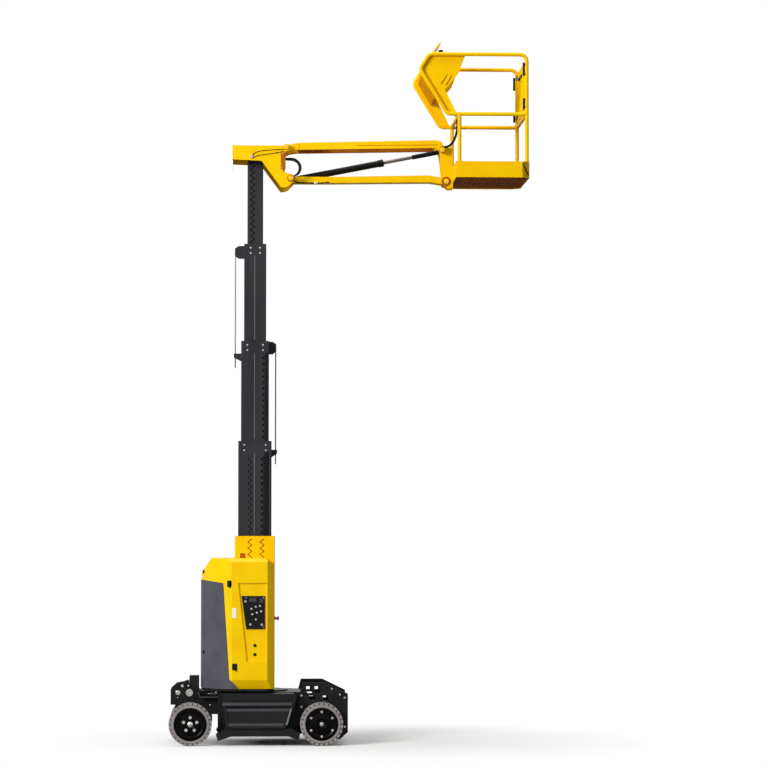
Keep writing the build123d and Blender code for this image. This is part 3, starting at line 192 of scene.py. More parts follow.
SCREEN_GLASS = coated_finish("display_glass", (0.02, 0.03, 0.035), (0.03, 0.045, 0.05), 0.08, coat=1.0)
GRIP_HOLES = coated_finish("grip_sheet_holes", (0.07, 0.016, 0.0005), (0.05, 0.012, 0.0005), 0.7, shine=0.03)
# greys lighter than the black covers, put on the covers' mouldings as painted highlight and painted glint;
# the first also colours the hose tray
TRAY_GREY_AND_HIGHLIGHT = coated_finish("tray_grey_and_painted_highlight", (0.075, 0.076, 0.084), (0.05, 0.05, 0.055), 0.4, grain=380,
                           shine=0.15)
COVER_GLINT = coated_finish("painted_glint_cover_edge", (0.26, 0.26, 0.265), (0.16, 0.16, 0.165), 0.35, grain=380,
                            shine=0.3)
# near-black painted shade on the mast's right-hand columns
MAST_SHADE = coated_finish("painted_shade_track", (0.010, 0.010, 0.011), (0.017, 0.017, 0.018), 0.5,
                           shine=0.05, stretch=(1, 1, 4))
# orange-brown that stands for the yellow paint in shade: painted shade
PAINTED_SHADE_ORANGE = coated_finish("painted_shade_orange", (0.42, 0.12, 0.003), (0.30, 0.075, 0.002), 0.5, shine=0.08)

for part in frame["record"]["subparts"]:
    node = frame["nodes"][part["node"]]
    node.data.materials.clear()
    node.data.materials.append(FINISHES[part["material_slot"]])

# Nodes whose sheet has a finish of its own: the basket floor, darkened to brown as painted shade, and panels
# that face away from the light: the gates in a dull yellow and the console darkened to orange as painted
# shade
FLOOR_SHADE_SHEET = coated_finish("painted_shade_floor_sheet", (0.34, 0.080, 0.001), (0.22, 0.048, 0.0005), 0.6, grain=300,
                           relief=0.0006, shine=0.03)
GATE_SHEET = coated_finish("dull_yellow_sheet", (1.0, 0.66, 0.004), (0.96, 0.56, 0.003), 0.6, shine=0.0)
CONSOLE_SHEET = coated_finish("shaded_console_sheet", (0.80, 0.34, 0.003), (0.70, 0.26, 0.002), 0.6,
                              shine=0.0)
SHEETS = {"basket_floor": FLOOR_SHADE_SHEET, "gate_left": GATE_SHEET, "gate_right": GATE_SHEET,
          "platform_console": CONSOLE_SHEET}
for node_name, sheet in SHEETS.items():
    frame["nodes"][node_name].data.materials[0] = sheet


# Making pieces
def finished_piece(name, mesh, finish, body, place=None):
    """Object at the origin from a mesh or a list of them, its place in its mesh, riding on a body."""
    if isinstance(mesh, list):
        mesh = joined(name, mesh)
    if place is not None:
        mesh.transform(place)
    if finish is not None:
        mesh.materials.clear()
        mesh.materials.append(finish)
    piece = bpy.data.objects.new(name, mesh)
    bpy.context.scene.collection.objects.link(piece)
    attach(piece, body)
    return piece


def evaluated_mesh(carrier, name):
    """Plain mesh of an object with its modifiers, which is then removed."""
    bpy.context.view_layer.update()
    depsgraph = bpy.context.evaluated_depsgraph_get()
    mesh = bpy.data.meshes.new_from_object(carrier.evaluated_get(depsgraph))
    mesh.name = name
    bpy.data.objects.remove(carrier)
    return mesh


def joined(name, meshes):
    """One mesh from several."""
    bm = bmesh.new()
    for mesh in meshes:
        bm.from_mesh(mesh)
    whole = bpy.data.meshes.new(name)
    bm.to_mesh(whole)
    bm.free()
    return whole


def copied(mesh, place):
    """Copy of a mesh moved by a matrix."""
    twin = mesh.copy()
    twin.transform(place)
    return twin


def smooth_by_angle(mesh, degrees=35):
    """Rounds the shading, with hard edges where the angle is larger."""
    bm = bmesh.new()
    bm.from_mesh(mesh)
    limit = math.radians(degrees)
    for edge in bm.edges:
        edge.smooth = len(edge.link_faces) == 2 and edge.calc_face_angle(0) < limit
    for face in bm.faces:
        face.smooth = True
    bm.to_mesh(mesh)
    bm.free()
    return mesh


def lathe_mesh(name, profile, segments=64):
    """Closed ring or disc from (radius, height) pairs turned round the local Z axis."""
    bm = bmesh.new()
    rings = []
    for radius, height in profile:
        if radius < 1e-6:
            rings.append([bm.verts.new((0, 0, height))])
        else:
            rings.append([bm.verts.new((radius * math.cos(math.tau * k / segments),
                                        radius * math.sin(math.tau * k / segments), height))
                          for k in range(segments)])
    pairs = list(zip(rings, rings[1:]))
    if profile[0] != profile[-1] and len(rings[0]) > 1:
        pairs.append((rings[-1], rings[0]))
    for low, high in pairs:
        for k in range(segments):
            a = low[k % len(low)]
            b = low[(k + 1) % len(low)]
            c = high[(k + 1) % len(high)]
            d = high[k % len(high)]
            corners = [v for n, v in enumerate((a, b, c, d)) if v not in (a, b, c, d)[:n]]
            if len(corners) > 2:
                bm.faces.new(corners)
    bmesh.ops.remove_doubles(bm, verts=bm.verts, dist=1e-6)
    bmesh.ops.recalc_face_normals(bm, faces=bm.faces)
    mesh = bpy.data.meshes.new(name)
    bm.to_mesh(mesh)
    bm.free()
    return smooth_by_angle(mesh)


def block_mesh(name, size, bevel=0.0015, place=None):
    """Block with softened edges, centred at its place."""
    bm = bmesh.new()
    bmesh.ops.create_cube(bm, size=1)
    for vert in bm.verts:
        vert.co = Vector((vert.co.x * size[0], vert.co.y * size[1], vert.co.z * size[2]))
    width = min(bevel, min(size) * 0.3)
    bmesh.ops.bevel(bm, geom=list(bm.edges), offset=width, segments=2, affect="EDGES", profile=0.5)
    mesh = bpy.data.meshes.new(name)
    bm.to_mesh(mesh)
    bm.free()
    if place is not None:
        mesh.transform(place)
    return mesh


def plate_mesh(name, outline, thickness, bevel=0.001):
    """Plate from an outline in local X and Y, its back at Z = 0."""
    bm = bmesh.new()
    floor = [bm.verts.new((x, y, 0)) for x, y in outline]
    face = bm.faces.new(floor)
    lifted = bmesh.ops.extrude_face_region(bm, geom=[face])
    for item in lifted["geom"]:
        if isinstance(item, bmesh.types.BMVert):
            item.co.z += thickness
    bmesh.ops.recalc_face_normals(bm, faces=bm.faces)
    if bevel:
        top = [e for e in bm.edges if all(abs(v.co.z - thickness) < 1e-7 for v in e.verts)]
        bmesh.ops.bevel(bm, geom=top, offset=bevel, segments=2, affect="EDGES", profile=0.5)
    mesh = bpy.data.meshes.new(name)
    bm.to_mesh(mesh)
    bm.free()
    return mesh


def frame_at(origin, out, up=(0, 0, 1)):
    """Matrix that stands local Z along out, with local Y near up."""
    z = Vector(out).normalized()
    x = Vector(up).cross(z).normalized()
    y = z.cross(x)
    matrix = Matrix((x, y, z)).transposed().to_4x4()
    matrix.translation = origin
    return matrix


def on_side(x, y, z, side):
    """Matrix that stands local Z outwards on the part's left (side 1) or right (side -1)."""
    return frame_at(at(x, side * y, z), (0, side, 0))


def on_both_sides(mesh, x, half_y, z):
    """Copies of a mesh that stand outwards on the part's two sides."""
    return [copied(mesh, on_side(x, half_y, z, side)) for side in (-1, 1)]


def block_pair(name, size, bevel, x, half_y, z, tilt=Matrix()):
    """The same block on the part's two sides, tilted where it has to be."""
    return [block_mesh(name, size, bevel, placed(x, side * half_y, z) @ tilt) for side in (-1, 1)]


def flat_on_side(half_y, side):
    """Matrix that stands a plate drawn in X and Z on a side, its thickness outwards."""
    return Matrix(((1, 0, 0, SLEW_X), (0, 0, side, side * half_y / 1000), (0, 1, 0, 0), (0, 0, 0, 1)))


def hose_mesh(name, points, radius):
    """Round hose on a smooth NURBS line through control points."""
    curve = bpy.data.curves.new(name, "CURVE")
    curve.dimensions = "3D"
    curve.resolution_u = 8
    spline = curve.splines.new("NURBS")
    spline.points.add(len(points) - 1)
    for knot, place in zip(spline.points, points):
        knot.co = (*place, 1)
    spline.order_u = 3
    spline.use_endpoint_u = True
    curve.bevel_depth = radius
    curve.bevel_resolution = 2
    curve.use_fill_caps = True
    carrier = bpy.data.objects.new(name, curve)
    bpy.context.scene.collection.objects.link(carrier)
    mesh = evaluated_mesh(carrier, name)
    for polygon in mesh.polygons:
        polygon.use_smooth = True
    return mesh


# Geometry Nodes for what repeats
def new_tree(name, sizes):
    """Geometry node tree with named inputs; gives the tree, its inputs and its end node."""
    tree = bpy.data.node_groups.new(name, "GeometryNodeTree")
    tree.interface.new_socket("Geometry", in_out="INPUT", socket_type="NodeSocketGeometry")
    for label, kind in sizes:
        tree.interface.new_socket(label, in_out="INPUT", socket_type=kind)
    tree.interface.new_socket("Geometry", in_out="OUTPUT", socket_type="NodeSocketGeometry")
    return tree, tree.nodes.new("NodeGroupInput").outputs, tree.nodes.new("NodeGroupOutput")


def end_tree(tree, instances, finish, result):
    """Realizes the instances, gives them their finish and returns the tree."""
    solid = added(tree, "GeometryNodeRealizeInstances", {"Geometry": instances})
    paint = added(tree, "GeometryNodeSetMaterial", {
        "Geometry": solid.outputs["Geometry"], "Material": finish})
    tree.links.new(paint.outputs["Geometry"], result.inputs["Geometry"])
    return tree


def grown(name, tree, values):
    """Plain mesh that a tree makes with its sizes set."""
    carrier = bpy.data.objects.new(name, bpy.data.meshes.new(name))
    bpy.context.scene.collection.objects.link(carrier)
    growth = carrier.modifiers.new("growth", "NODES")
    growth.node_group = tree
    for item in tree.interface.items_tree:
        if item.in_out == "INPUT" and item.name in values:
            growth[item.identifier] = values[item.name]
    return evaluated_mesh(carrier, name)


FLOAT = "NodeSocketFloat"
WHOLE = "NodeSocketInt"
# a bolt's head has six sides; its washer has more, is wider and thinner by these shares
HEAD_SIDES = 6
WASHER_SIDES = 16
WASHER_SPREAD = 1.35
WASHER_THICKNESS = 0.5
# a tooth's bar is longer than its reach across by this share
BAR_LENGTH = 1.22


def bolt_ring_tree(finish):
    """Hexagon heads on washers, evenly round a circle in the local XY plane."""
    tree, sizes, result = new_tree("bolt_ring", [
        ("Bolts", WHOLE), ("Ring radius", FLOAT), ("Head radius", FLOAT), ("Head height", FLOAT)])
    ring = added(tree, "GeometryNodeMeshCircle", {"Vertices": sizes["Bolts"], "Radius": sizes["Ring radius"]})
    radius = sizes["Head radius"]
    height = sizes["Head height"]
    head = added(tree, "GeometryNodeMeshCylinder", {
        "Vertices": HEAD_SIDES, "Radius": radius, "Depth": height})
    wide = added(tree, "ShaderNodeMath", {0: radius, 1: WASHER_SPREAD}, "MULTIPLY")
    thin = added(tree, "ShaderNodeMath", {0: height, 1: WASHER_THICKNESS}, "MULTIPLY")
    washer = added(tree, "GeometryNodeMeshCylinder", {
        "Vertices": WASHER_SIDES, "Radius": wide.outputs[0], "Depth": thin.outputs[0]})
    bolt = tree.nodes.new("GeometryNodeJoinGeometry")
    tree.links.new(head.outputs["Mesh"], bolt.inputs["Geometry"])
    tree.links.new(washer.outputs["Mesh"], bolt.inputs["Geometry"])
    spread = added(tree, "GeometryNodeInstanceOnPoints", {
        "Points": ring.outputs["Mesh"], "Instance": bolt.outputs["Geometry"]})
    return end_tree(tree, spread.outputs["Instances"], finish, result)


def bolt_grid_tree(finish):
    """Bolt heads or dots at the crossings of a grid in the local XY plane."""
    tree, sizes, result = new_tree("bolt_grid", [
        ("Columns", WHOLE), ("Rows", WHOLE), ("Width", FLOAT), ("Height", FLOAT), ("Head radius", FLOAT),
        ("Head height", FLOAT), ("Sides", WHOLE)])
    grid = added(tree, "GeometryNodeMeshGrid", {
        "Vertices X": sizes["Columns"], "Vertices Y": sizes["Rows"],
        "Size X": sizes["Width"], "Size Y": sizes["Height"]})
    head = added(tree, "GeometryNodeMeshCylinder", {
        "Vertices": sizes["Sides"], "Radius": sizes["Head radius"], "Depth": sizes["Head height"]})
    spread = added(tree, "GeometryNodeInstanceOnPoints", {
        "Points": grid.outputs["Mesh"], "Instance": head.outputs["Mesh"]})
    return end_tree(tree, spread.outputs["Instances"], finish, result)


def tread_tree(finish):
    """One row of tread blocks round a tyre, beside its mid plane and turned by the stagger."""
    tree, sizes, result = new_tree("tyre_tread", [
        ("Blocks", WHOLE), ("Tread radius", FLOAT), ("Block length", FLOAT), ("Block width", FLOAT),
        ("Block height", FLOAT), ("Row offset", FLOAT), ("Stagger", FLOAT)])
    ring = added(tree, "GeometryNodeMeshCircle", {
        "Vertices": sizes["Blocks"], "Radius": sizes["Tread radius"]})
    size = added(tree, "ShaderNodeCombineXYZ", {
        "X": sizes["Block height"], "Y": sizes["Block length"], "Z": sizes["Block width"]})
    lug = added(tree, "GeometryNodeMeshCube", {"Size": size.outputs["Vector"]})
    index = tree.nodes.new("GeometryNodeInputIndex")
    step = added(tree, "ShaderNodeMath", {0: index.outputs["Index"], 1: sizes["Blocks"]}, "DIVIDE")
    angle = added(tree, "ShaderNodeMath", {0: step.outputs[0], 1: math.tau}, "MULTIPLY")
    turn = added(tree, "ShaderNodeCombineXYZ", {"Z": angle.outputs[0]})
    spread = added(tree, "GeometryNodeInstanceOnPoints", {
        "Points": ring.outputs["Mesh"], "Instance": lug.outputs["Mesh"], "Rotation": turn.outputs["Vector"]})
    place = added(tree, "ShaderNodeCombineXYZ", {"Z": sizes["Row offset"]})
    twist = added(tree, "ShaderNodeCombineXYZ", {"Z": sizes["Stagger"]})
    shift = added(tree, "GeometryNodeTransform", {
        "Geometry": spread.outputs["Instances"], "Translation": place.outputs["Vector"],
        "Rotation": twist.outputs["Vector"]})
    return end_tree(tree, shift.outputs["Geometry"], finish, result)


BLACK = FINISHES["panel_black"]
YELLOW = FINISHES["yellow_paint"]
RUBBER = FINISHES["tyre_rubber"]
ZINC_RING = bolt_ring_tree(ZINC)
ZINC_GRID = bolt_grid_tree(ZINC)
HOLE_GRID = bolt_grid_tree(GRIP_HOLES)
TREAD = tread_tree(RUBBER)


def screw_grid(name, columns, rows, width, height, radius, head, sides=HEAD_SIDES):
    """Zinc screw heads at the crossings of a grid in the local XY plane, in metres."""
    return grown(name, ZINC_GRID, {"Columns": columns, "Rows": rows, "Width": width, "Height": height,
                                   "Head radius": radius, "Head height": head, "Sides": sides})


# Wheels: height of the hub, half width of a tyre and its mid plane
HUB_Z = 192
TYRE_HALF = 0.0625
WHEEL_Y = 432.5
# the wheel's outer web, measured from the tyre's mid plane
WEB = TYRE_HALF - 0.018
TREAD_ROW = {"Blocks": 26, "Tread radius": 0.1806, "Block length": 0.0330, "Block width": 0.0580,
             "Block height": 0.0208}
ROW_OFFSET = 0.031
# end, x of the axle, side's name and sign
WHEELS = [
    ("rear", -573, "left", 1),
    ("rear", -573, "right", -1),
    ("front", 596, "left", 1),
    ("front", 596, "right", -1),
]
SIDEWALL = [(0.147, -0.0605), (0.156, -0.0625), (0.164, -0.0620), (0.1685, -0.060), (0.169, 0.0),
            (0.1685, 0.060), (0.164, 0.0620), (0.156, 0.0625), (0.147, 0.0605)]
TREAD_BAND = [(0.1660, -0.0590), (0.1800, -0.0570), (0.1835, -0.045), (0.1835, 0.045), (0.1800, 0.0570),
              (0.1660, 0.0590)]
DISH = [(0.137, WEB), (0.133, WEB + 0.010), (0.124, WEB + 0.012), (0.112, WEB + 0.003), (0.095, WEB + 0.002),
        (0.086, WEB + 0.006), (0.046, WEB + 0.007), (0.040, WEB + 0.002), (0.034, WEB)]
# at each end of the chassis: the nuts, the cap over the hub and how many sides the cap has
WHEEL_FITTINGS = {
    "rear": ({"Bolts": 5, "Ring radius": 0.062, "Head radius": 0.0105, "Head height": 0.016},
             [(0.0, WEB + 0.0175), (0.016, WEB + 0.0165), (0.0235, WEB + 0.012), (0.0255, WEB + 0.004),
              (0.0255, WEB + 0.001)], 40),
    "front": ({"Bolts": 6, "Ring radius": 0.109, "Head radius": 0.008, "Head height": 0.012},
              [(0.0, WEB + 0.0155), (0.009, WEB + 0.0155), (0.010, WEB + 0.013), (0.0165, WEB + 0.0125),
               (0.0195, WEB + 0.008), (0.0195, WEB + 0.001)], 32),
}
for end, axle_x, side_name, side in WHEELS:
    body = f"wheel_{end}_{side_name}"
    hub = on_side(axle_x, WHEEL_Y, HUB_Z, side)
    wall = finished_piece(f"tyre_wall_{end}_{side_name}", lathe_mesh("tyre_wall", SIDEWALL, 96), RUBBER, body,
                          hub)
    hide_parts(f"tyre_{end}_{side_name}")
    finished_piece(f"tyre_band_{end}_{side_name}", lathe_mesh("tyre_band", TREAD_BAND, 96), TREAD_GAP, body,
                   hub)
    rows = []
    for row, stagger in ((-ROW_OFFSET, 0.0), (ROW_OFFSET, math.pi / TREAD_ROW["Blocks"])):
        rows.append(grown("tread_row", TREAD, {**TREAD_ROW, "Row offset": row, "Stagger": stagger}))
    finished_piece(f"tread_blocks_{end}_{side_name}", rows, RUBBER, body, hub)
    dish = lathe_mesh("wheel_dish", DISH, 72)
    finished_piece(f"wheel_dish_{end}_{side_name}", dish, FINISHES["wheel_black"], body, hub)
    ring, cap_profile, cap_segments = WHEEL_FITTINGS[end]
    nuts = grown("wheel_nuts", ZINC_RING, ring)
    nuts.transform(Matrix.Rotation(math.radians(90), 4, "Z"))
    finished_piece(f"wheel_nuts_{end}_{side_name}", nuts, None, body,
                   hub @ Matrix.Translation((0, 0, WEB + 0.008)))
    cap = lathe_mesh("wheel_cap", cap_profile, cap_segments)
    finished_piece(f"wheel_cap_{end}_{side_name}", cap, ZINC, body, hub)

# Saw-toothed seams up the mast's faces, their middle sunk this far into the face
SUNK = 0.7
# body, x, half Y of the tube's face, foot, head, width of the stroke, finish
SAW_SEAMS = [
    ("turret", -45, 190.3, 1672, 1858, 8.5, SEAM_BROWN),
    ("turret", 65, 190.3, 1672, 1858, 8.5, SEAM_BROWN),
    ("mast_2", -45, 160, 1485, 2612, 7.5, SEAM_DARK),
    ("mast_2", 77, 160, 1485, 2612, 13, SEAM_DARK),
    ("mast_3", 88, 135, 2345, 3519, 12, SEAM_DARK),
    ("mast_5", -25, 81, 4065, 5281, 11, SEAM_DARK),
]


def saw_tree(finish):
    """Teeth up a line: one slanted bar a half pitch, leaning left and right in turn."""
    tree, sizes, result = new_tree("saw_seam", [
        ("Bars", WHOLE), ("Half pitch", FLOAT), ("Reach", FLOAT), ("Stroke", FLOAT), ("Depth", FLOAT)])
    half_pitch = sizes["Half pitch"]
    stroke = sizes["Stroke"]
    step = added(tree, "ShaderNodeCombineXYZ", {"Y": half_pitch})
    line = added(tree, "GeometryNodeMeshLine", {"Count": sizes["Bars"], "Offset": step.outputs["Vector"]})
    length = added(tree, "ShaderNodeMath", {0: sizes["Reach"], 1: BAR_LENGTH, 2: stroke}, "MULTIPLY_ADD")
    bar_size = added(tree, "ShaderNodeCombineXYZ", {"X": length.outputs[0], "Y": stroke, "Z": sizes["Depth"]})
    bar = added(tree, "GeometryNodeMeshCube", {"Size": bar_size.outputs["Vector"]})
    slope = added(tree, "ShaderNodeMath", {0: half_pitch, 1: sizes["Reach"]}, "ARCTAN2")
    index = tree.nodes.new("GeometryNodeInputIndex")
    parity = added(tree, "ShaderNodeMath", {0: index.outputs["Index"], 1: 2.0}, "MODULO")
    sign = added(tree, "ShaderNodeMath", {0: parity.outputs[0], 1: 2.0, 2: -1.0}, "MULTIPLY_ADD")
    lean = added(tree, "ShaderNodeMath", {0: slope.outputs[0], 1: sign.outputs[0]}, "MULTIPLY")
    turn = added(tree, "ShaderNodeCombineXYZ", {"Z": lean.outputs[0]})
    spread = added(tree, "GeometryNodeInstanceOnPoints", {
        "Points": line.outputs["Mesh"], "Instance": bar.outputs["Mesh"], "Rotation": turn.outputs["Vector"]})
    return end_tree(tree, spread.outputs["Instances"], finish, result)


# Dark strips of painted shade under the seams: body, half Y of the tube's face, their two edges in X, foot,
# head
TRACKS = [
    ("mast_2", 160, 84, 126, 1480, 2618),
    ("mast_3", 135, 93, 116, 2340, 3525),
]
for body, half_y, x0, x1, z0, z1 in TRACKS:
    strips = block_pair("strip", ((x1 - x0) / 1000, 0.0012, (z1 - z0) / 1000), 0.0003,
                        (x0 + x1) / 2, half_y - 0.3, (z0 + z1) / 2)
    finished_piece(f"shade_track_{body}", strips, MAST_SHADE, body)

SAW = {finish.name: saw_tree(finish) for finish in (SEAM_DARK, SEAM_BROWN)}
# a tooth's pitch in millimetres, its reach across and the strokes' thickness in metres
TOOTH_PITCH = 55
TOOTH_REACH = 0.034
STROKE_DEPTH = 0.0016
for order, (body, x, half_y, z0, z1, stroke, finish) in enumerate(SAW_SEAMS):
    teeth = max(1, int((z1 - z0) / TOOTH_PITCH))
    seam = grown("saw_seam", SAW[finish.name], {
        "Bars": 2 * teeth, "Half pitch": TOOTH_PITCH / 2000, "Reach": TOOTH_REACH, "Stroke": stroke / 1000,
        "Depth": STROKE_DEPTH})
    faces = on_both_sides(seam, x, half_y - SUNK, z0 + TOOTH_PITCH / 4)
    finished_piece(f"saw_seam_{order}", faces, finish, body)

# Straight seams up the tubes' faces: body, x, half Y of the tube's face, foot, head
PLAIN_SEAMS = [
    ("mast_2", -4.5, 160, 1880, 2612),
    ("mast_3", -4.5, 135, 2740, 3519),
    ("mast_4", -4.5, 110, 3640, 4403),
]
for body, x, half_y, z0, z1 in PLAIN_SEAMS:
    strips = block_pair("strip", (0.0045, STROKE_DEPTH, (z1 - z0) / 1000), 0.0004,
                        x, half_y - SUNK, (z0 + z1) / 2)
    finished_piece(f"centre_seam_{body}", strips, SEAM_PALE, body)

# Slide pad screws at each tube's head, almost flush: body, half Y of the tube, spread of the screws, head
COLLARS = [
    ("mast_2", 160, 193, 2722),
    ("mast_3", 135, 142, 3629),
    ("mast_4", 110, 84, 4513),
]
for body, half_y, spread, head in COLLARS:
    grid = screw_grid("collar_bolts", 2, 2, spread / 1000, 0.048, 0.0085, 0.002)
    heads = on_both_sides(grid, 0, half_y - 0.8, head - 60)
    finished_piece(f"collar_bolts_{body}", heads, ZINC, body)

# Lining of the window in the fixed section, dark orange as painted shade
lining = block_pair("lining", (0.046, 0.002, 0.042), 0.0005, -108, 185, 1680)
finished_piece("window_lining", lining, PAINTED_SHADE_ORANGE, "turret")

# Lift cables: ropes drawn in place of the solids
# node, body, joint, x, foot, share of the length left at the joint's limit
CABLES = [
    ("lift_cable_2", "mast_2", "extend_3", 188, 2646, 0.0885),
    ("lift_cable_3", "mast_3", "extend_4", -179, 3520, 0.0865),
]
# the ropes are drawn this much thicker than the solids
ROPE_SWELL = 1.5
for node_name, body, joint, x, foot, share in CABLES:
    rope = frame["nodes"][node_name].data.copy()
    axis_x = at(x, 0, foot).x
    for corner in rope.vertices:
        corner.co.x = axis_x + (corner.co.x - axis_x) * ROPE_SWELL
        corner.co.y *= ROPE_SWELL
    cable = finished_piece(f"{node_name}_rope", rope, FINISHES["cable_steel"], body)
    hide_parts(node_name)
    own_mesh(cable)

# Hook that hangs from the head bracket's rear end
hook = [block_mesh("hook_shank", (0.005, 0.005, 0.080), 0.001, placed(-206.5, -120, 5233))]
hook.append(lathe_mesh("hook_point", [(0.0, -0.010), (0.0028, 0.0), (0.0028, 0.010), (0.0, 0.011)], 16))
hook[-1].transform(placed(-206.5, -120, 5190))
finished_piece("head_hook", hook, ZINC, "mast_5")

# Hood: latches, blank plate and controls; its ends are round and its sides flat between
HOOD_RADIUS = 486
HOOD_HALF_WIDTH = 440
FLAT_HALF_LENGTH = 206


def latch_meshes(x, z, side):
    """Quarter-turn latch on the hood's side: base, hub, lever and tab."""
    if abs(x) > FLAT_HALF_LENGTH:
        reach = math.sqrt(HOOD_RADIUS ** 2 - x ** 2)
        out = Vector((x, side * reach, 0)).normalized()
    else:
        reach = HOOD_HALF_WIDTH
        out = Vector((0, side, 0))
    stand = frame_at(at(x, side * reach, z), out)
    base = block_mesh("latch_base", (0.044, 0.058, 0.006), 0.003)
    hub = lathe_mesh("latch_hub", [(0.0, 0.016), (0.011, 0.016), (0.014, 0.012), (0.014, 0.002)], 24)
    lever = block_mesh("latch_lever", (0.013, 0.052, 0.008), 0.003,
                       Matrix.Translation((0.006, -0.010, 0.014)))
    tab = block_mesh("latch_tab", (0.034, 0.010, 0.008), 0.003, Matrix.Translation((0, 0.016, 0.009)))
    return [copied(mesh, stand) for mesh in (base, hub, lever, tab)]


for side_name, side in (("right", -1), ("left", 1)):
    latches = latch_meshes(-228, 1440, side) + latch_meshes(-180, 700, side)
    finished_piece(f"hood_latches_{side_name}", latches, BLACK, "turret")

blank_plate = block_mesh("blank_plate", (0.036, 0.002, 0.090), 0.0006, placed(-184, -440.6, 1178))
finished_piece("blank_plate", blank_plate, WHITE_PLATE, "turret")

# Ground controls, on the panel's face towards -Y
PANEL_FACE_Y = -434
TO_CAMERA = (0, -1, 0)
panel_items = []
for x, z, width, height in ((-20, 1296, 62, 34), (58, 1290, 30, 40)):
    panel_items.append(block_mesh("display", (width / 1000, 0.003, height / 1000), 0.001,
                                  placed(x, PANEL_FACE_Y, z)))
finished_piece("ground_displays", panel_items, SCREEN_GLASS, "turret")
# profiles of the controls: radius and height in metres
KNOB = [(0.0, 0.013), (0.010, 0.013), (0.0125, 0.010), (0.014, 0.0)]
TOGGLE = [(0.0, 0.017), (0.003, 0.017), (0.0045, 0.006), (0.0085, 0.005), (0.0095, 0.0)]
CONTROLS = [
    (-84, 1282, KNOB), (-30, 1214, TOGGLE), (8, 1232, TOGGLE), (46, 1240, TOGGLE), (-22, 1166, TOGGLE),
    (18, 1180, TOGGLE), (56, 1192, TOGGLE), (-40, 1076, KNOB), (10, 1120, TOGGLE), (62, 1074, KNOB),
]
knobs = []
for x, z, profile in CONTROLS:
    knobs.append(copied(lathe_mesh("knob", profile, 24), frame_at(at(x, PANEL_FACE_Y, z), TO_CAMERA)))
screws = screw_grid("panel_screws", 2, 2, 0.155, 0.262, 0.0045, 0.003, 12)
knobs.append(copied(screws, frame_at(at(-1, PANEL_FACE_Y, 1183), TO_CAMERA)))
finished_piece("ground_switches", knobs, ZINC, "turret")

PLUG = [(0.0, 0.006), (0.010, 0.006), (0.014, 0.003), (0.0145, 0.0)]
plugs = []
for z in (889, 809):
    plugs.append(copied(lathe_mesh("plug", PLUG, 28), frame_at(at(1, -426, z), TO_CAMERA)))
finished_piece("hood_plugs", plugs, BLACK, "turret")

# Emergency stop: red mushroom on a black collar, in place of the plain solid
stop = frame_at(at(177, -250, 1127), (1, 0, 0))
MUSHROOM = [(0.0, 0.042), (0.012, 0.0405), (0.0185, 0.036), (0.020, 0.030), (0.0185, 0.026), (0.010, 0.024),
            (0.009, 0.0)]
mushroom = finished_piece("stop_mushroom", lathe_mesh("stop_mushroom", MUSHROOM, 40), FINISHES["stop_red"],
                          "turret", stop)
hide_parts("emergency_stop")
STOP_COLLAR = [(0.0092, 0.0), (0.017, 0.0), (0.017, 0.006), (0.013, 0.010), (0.0092, 0.010)]
finished_piece("stop_collar", lathe_mesh("stop_collar", STOP_COLLAR, 32), BLACK, "turret",
               stop)

# Knobs on the grey cover, on the rear's round face
COVER_KNOB = [(0.0, 0.010), (0.012, 0.0095), (0.016, 0.006), (0.016, 0.0)]
KNOB_TURN = math.radians(200)
knob_out = Vector((math.cos(KNOB_TURN), math.sin(KNOB_TURN), 0))
cover_bits = []
for z in (1545, 824):
    stand = frame_at(at(HOOD_RADIUS * knob_out.x, HOOD_RADIUS * knob_out.y, z), knob_out)
    cover_bits.append(copied(lathe_mesh("cover_knob", COVER_KNOB, 28), stand))
finished_piece("cover_knobs", cover_bits, BLACK, "turret")

# Jib pins: a cap with two bolts at each end, round a ring of painted shade on the hub
# body, x, z, half Y of the pin's end, radius of the hub
PIVOTS = [
    ("mast_5", 320, 5103, 213, 34),
    ("mast_5", 280, 5385, 213, 28),
    ("basket", 1700, 5375, 158, 28),
    ("basket", 1740, 5093, 100, 44),
]
PIN_CAP = [(0.0, 0.004), (0.021, 0.004), (0.024, 0.002), (0.024, -0.005)]
SHADE_HOLE = 0.0245
SHADE_HEIGHT = 0.0014
for order, (body, x, z, half_y, hub) in enumerate(PIVOTS):
    eye_shade = [(SHADE_HOLE, 0.0), (SHADE_HOLE, SHADE_HEIGHT), (hub / 1000, SHADE_HEIGHT), (hub / 1000, 0.0),
                 (SHADE_HOLE, 0.0)]
    caps = on_both_sides(lathe_mesh("pin_cap", PIN_CAP, 36), x, half_y, z)
    heads = on_both_sides(screw_grid("pin_bolt", 2, 1, 0.022, 0.0, 0.0045, 0.005), x, half_y + 5, z)
    shades = on_both_sides(lathe_mesh("eye_shade", eye_shade, 36), x, half_y - 8, z)
    finished_piece(f"pin_caps_{order}", caps, YELLOW, body)
    finished_piece(f"eye_shades_{order}", shades, PAINTED_SHADE_ORANGE, body)
    finished_piece(f"pin_bolts_{order}", heads, ZINC, body)

# Jib cylinder: gland ring at the barrel's mouth, and the black outer half of the rod
PIVOT_A = Vector((320, 0, 5103))
PIVOT_C = Vector((1700, 0, 5375))
ALONG = (PIVOT_C - PIVOT_A).normalized()


def on_cylinder(distance):
    """Place on the cylinder's line, in millimetres from its lower pivot."""
    spot = PIVOT_A + ALONG * distance
    return frame_at(at(spot.x, 0, spot.z), ALONG, (0, 1, 0))


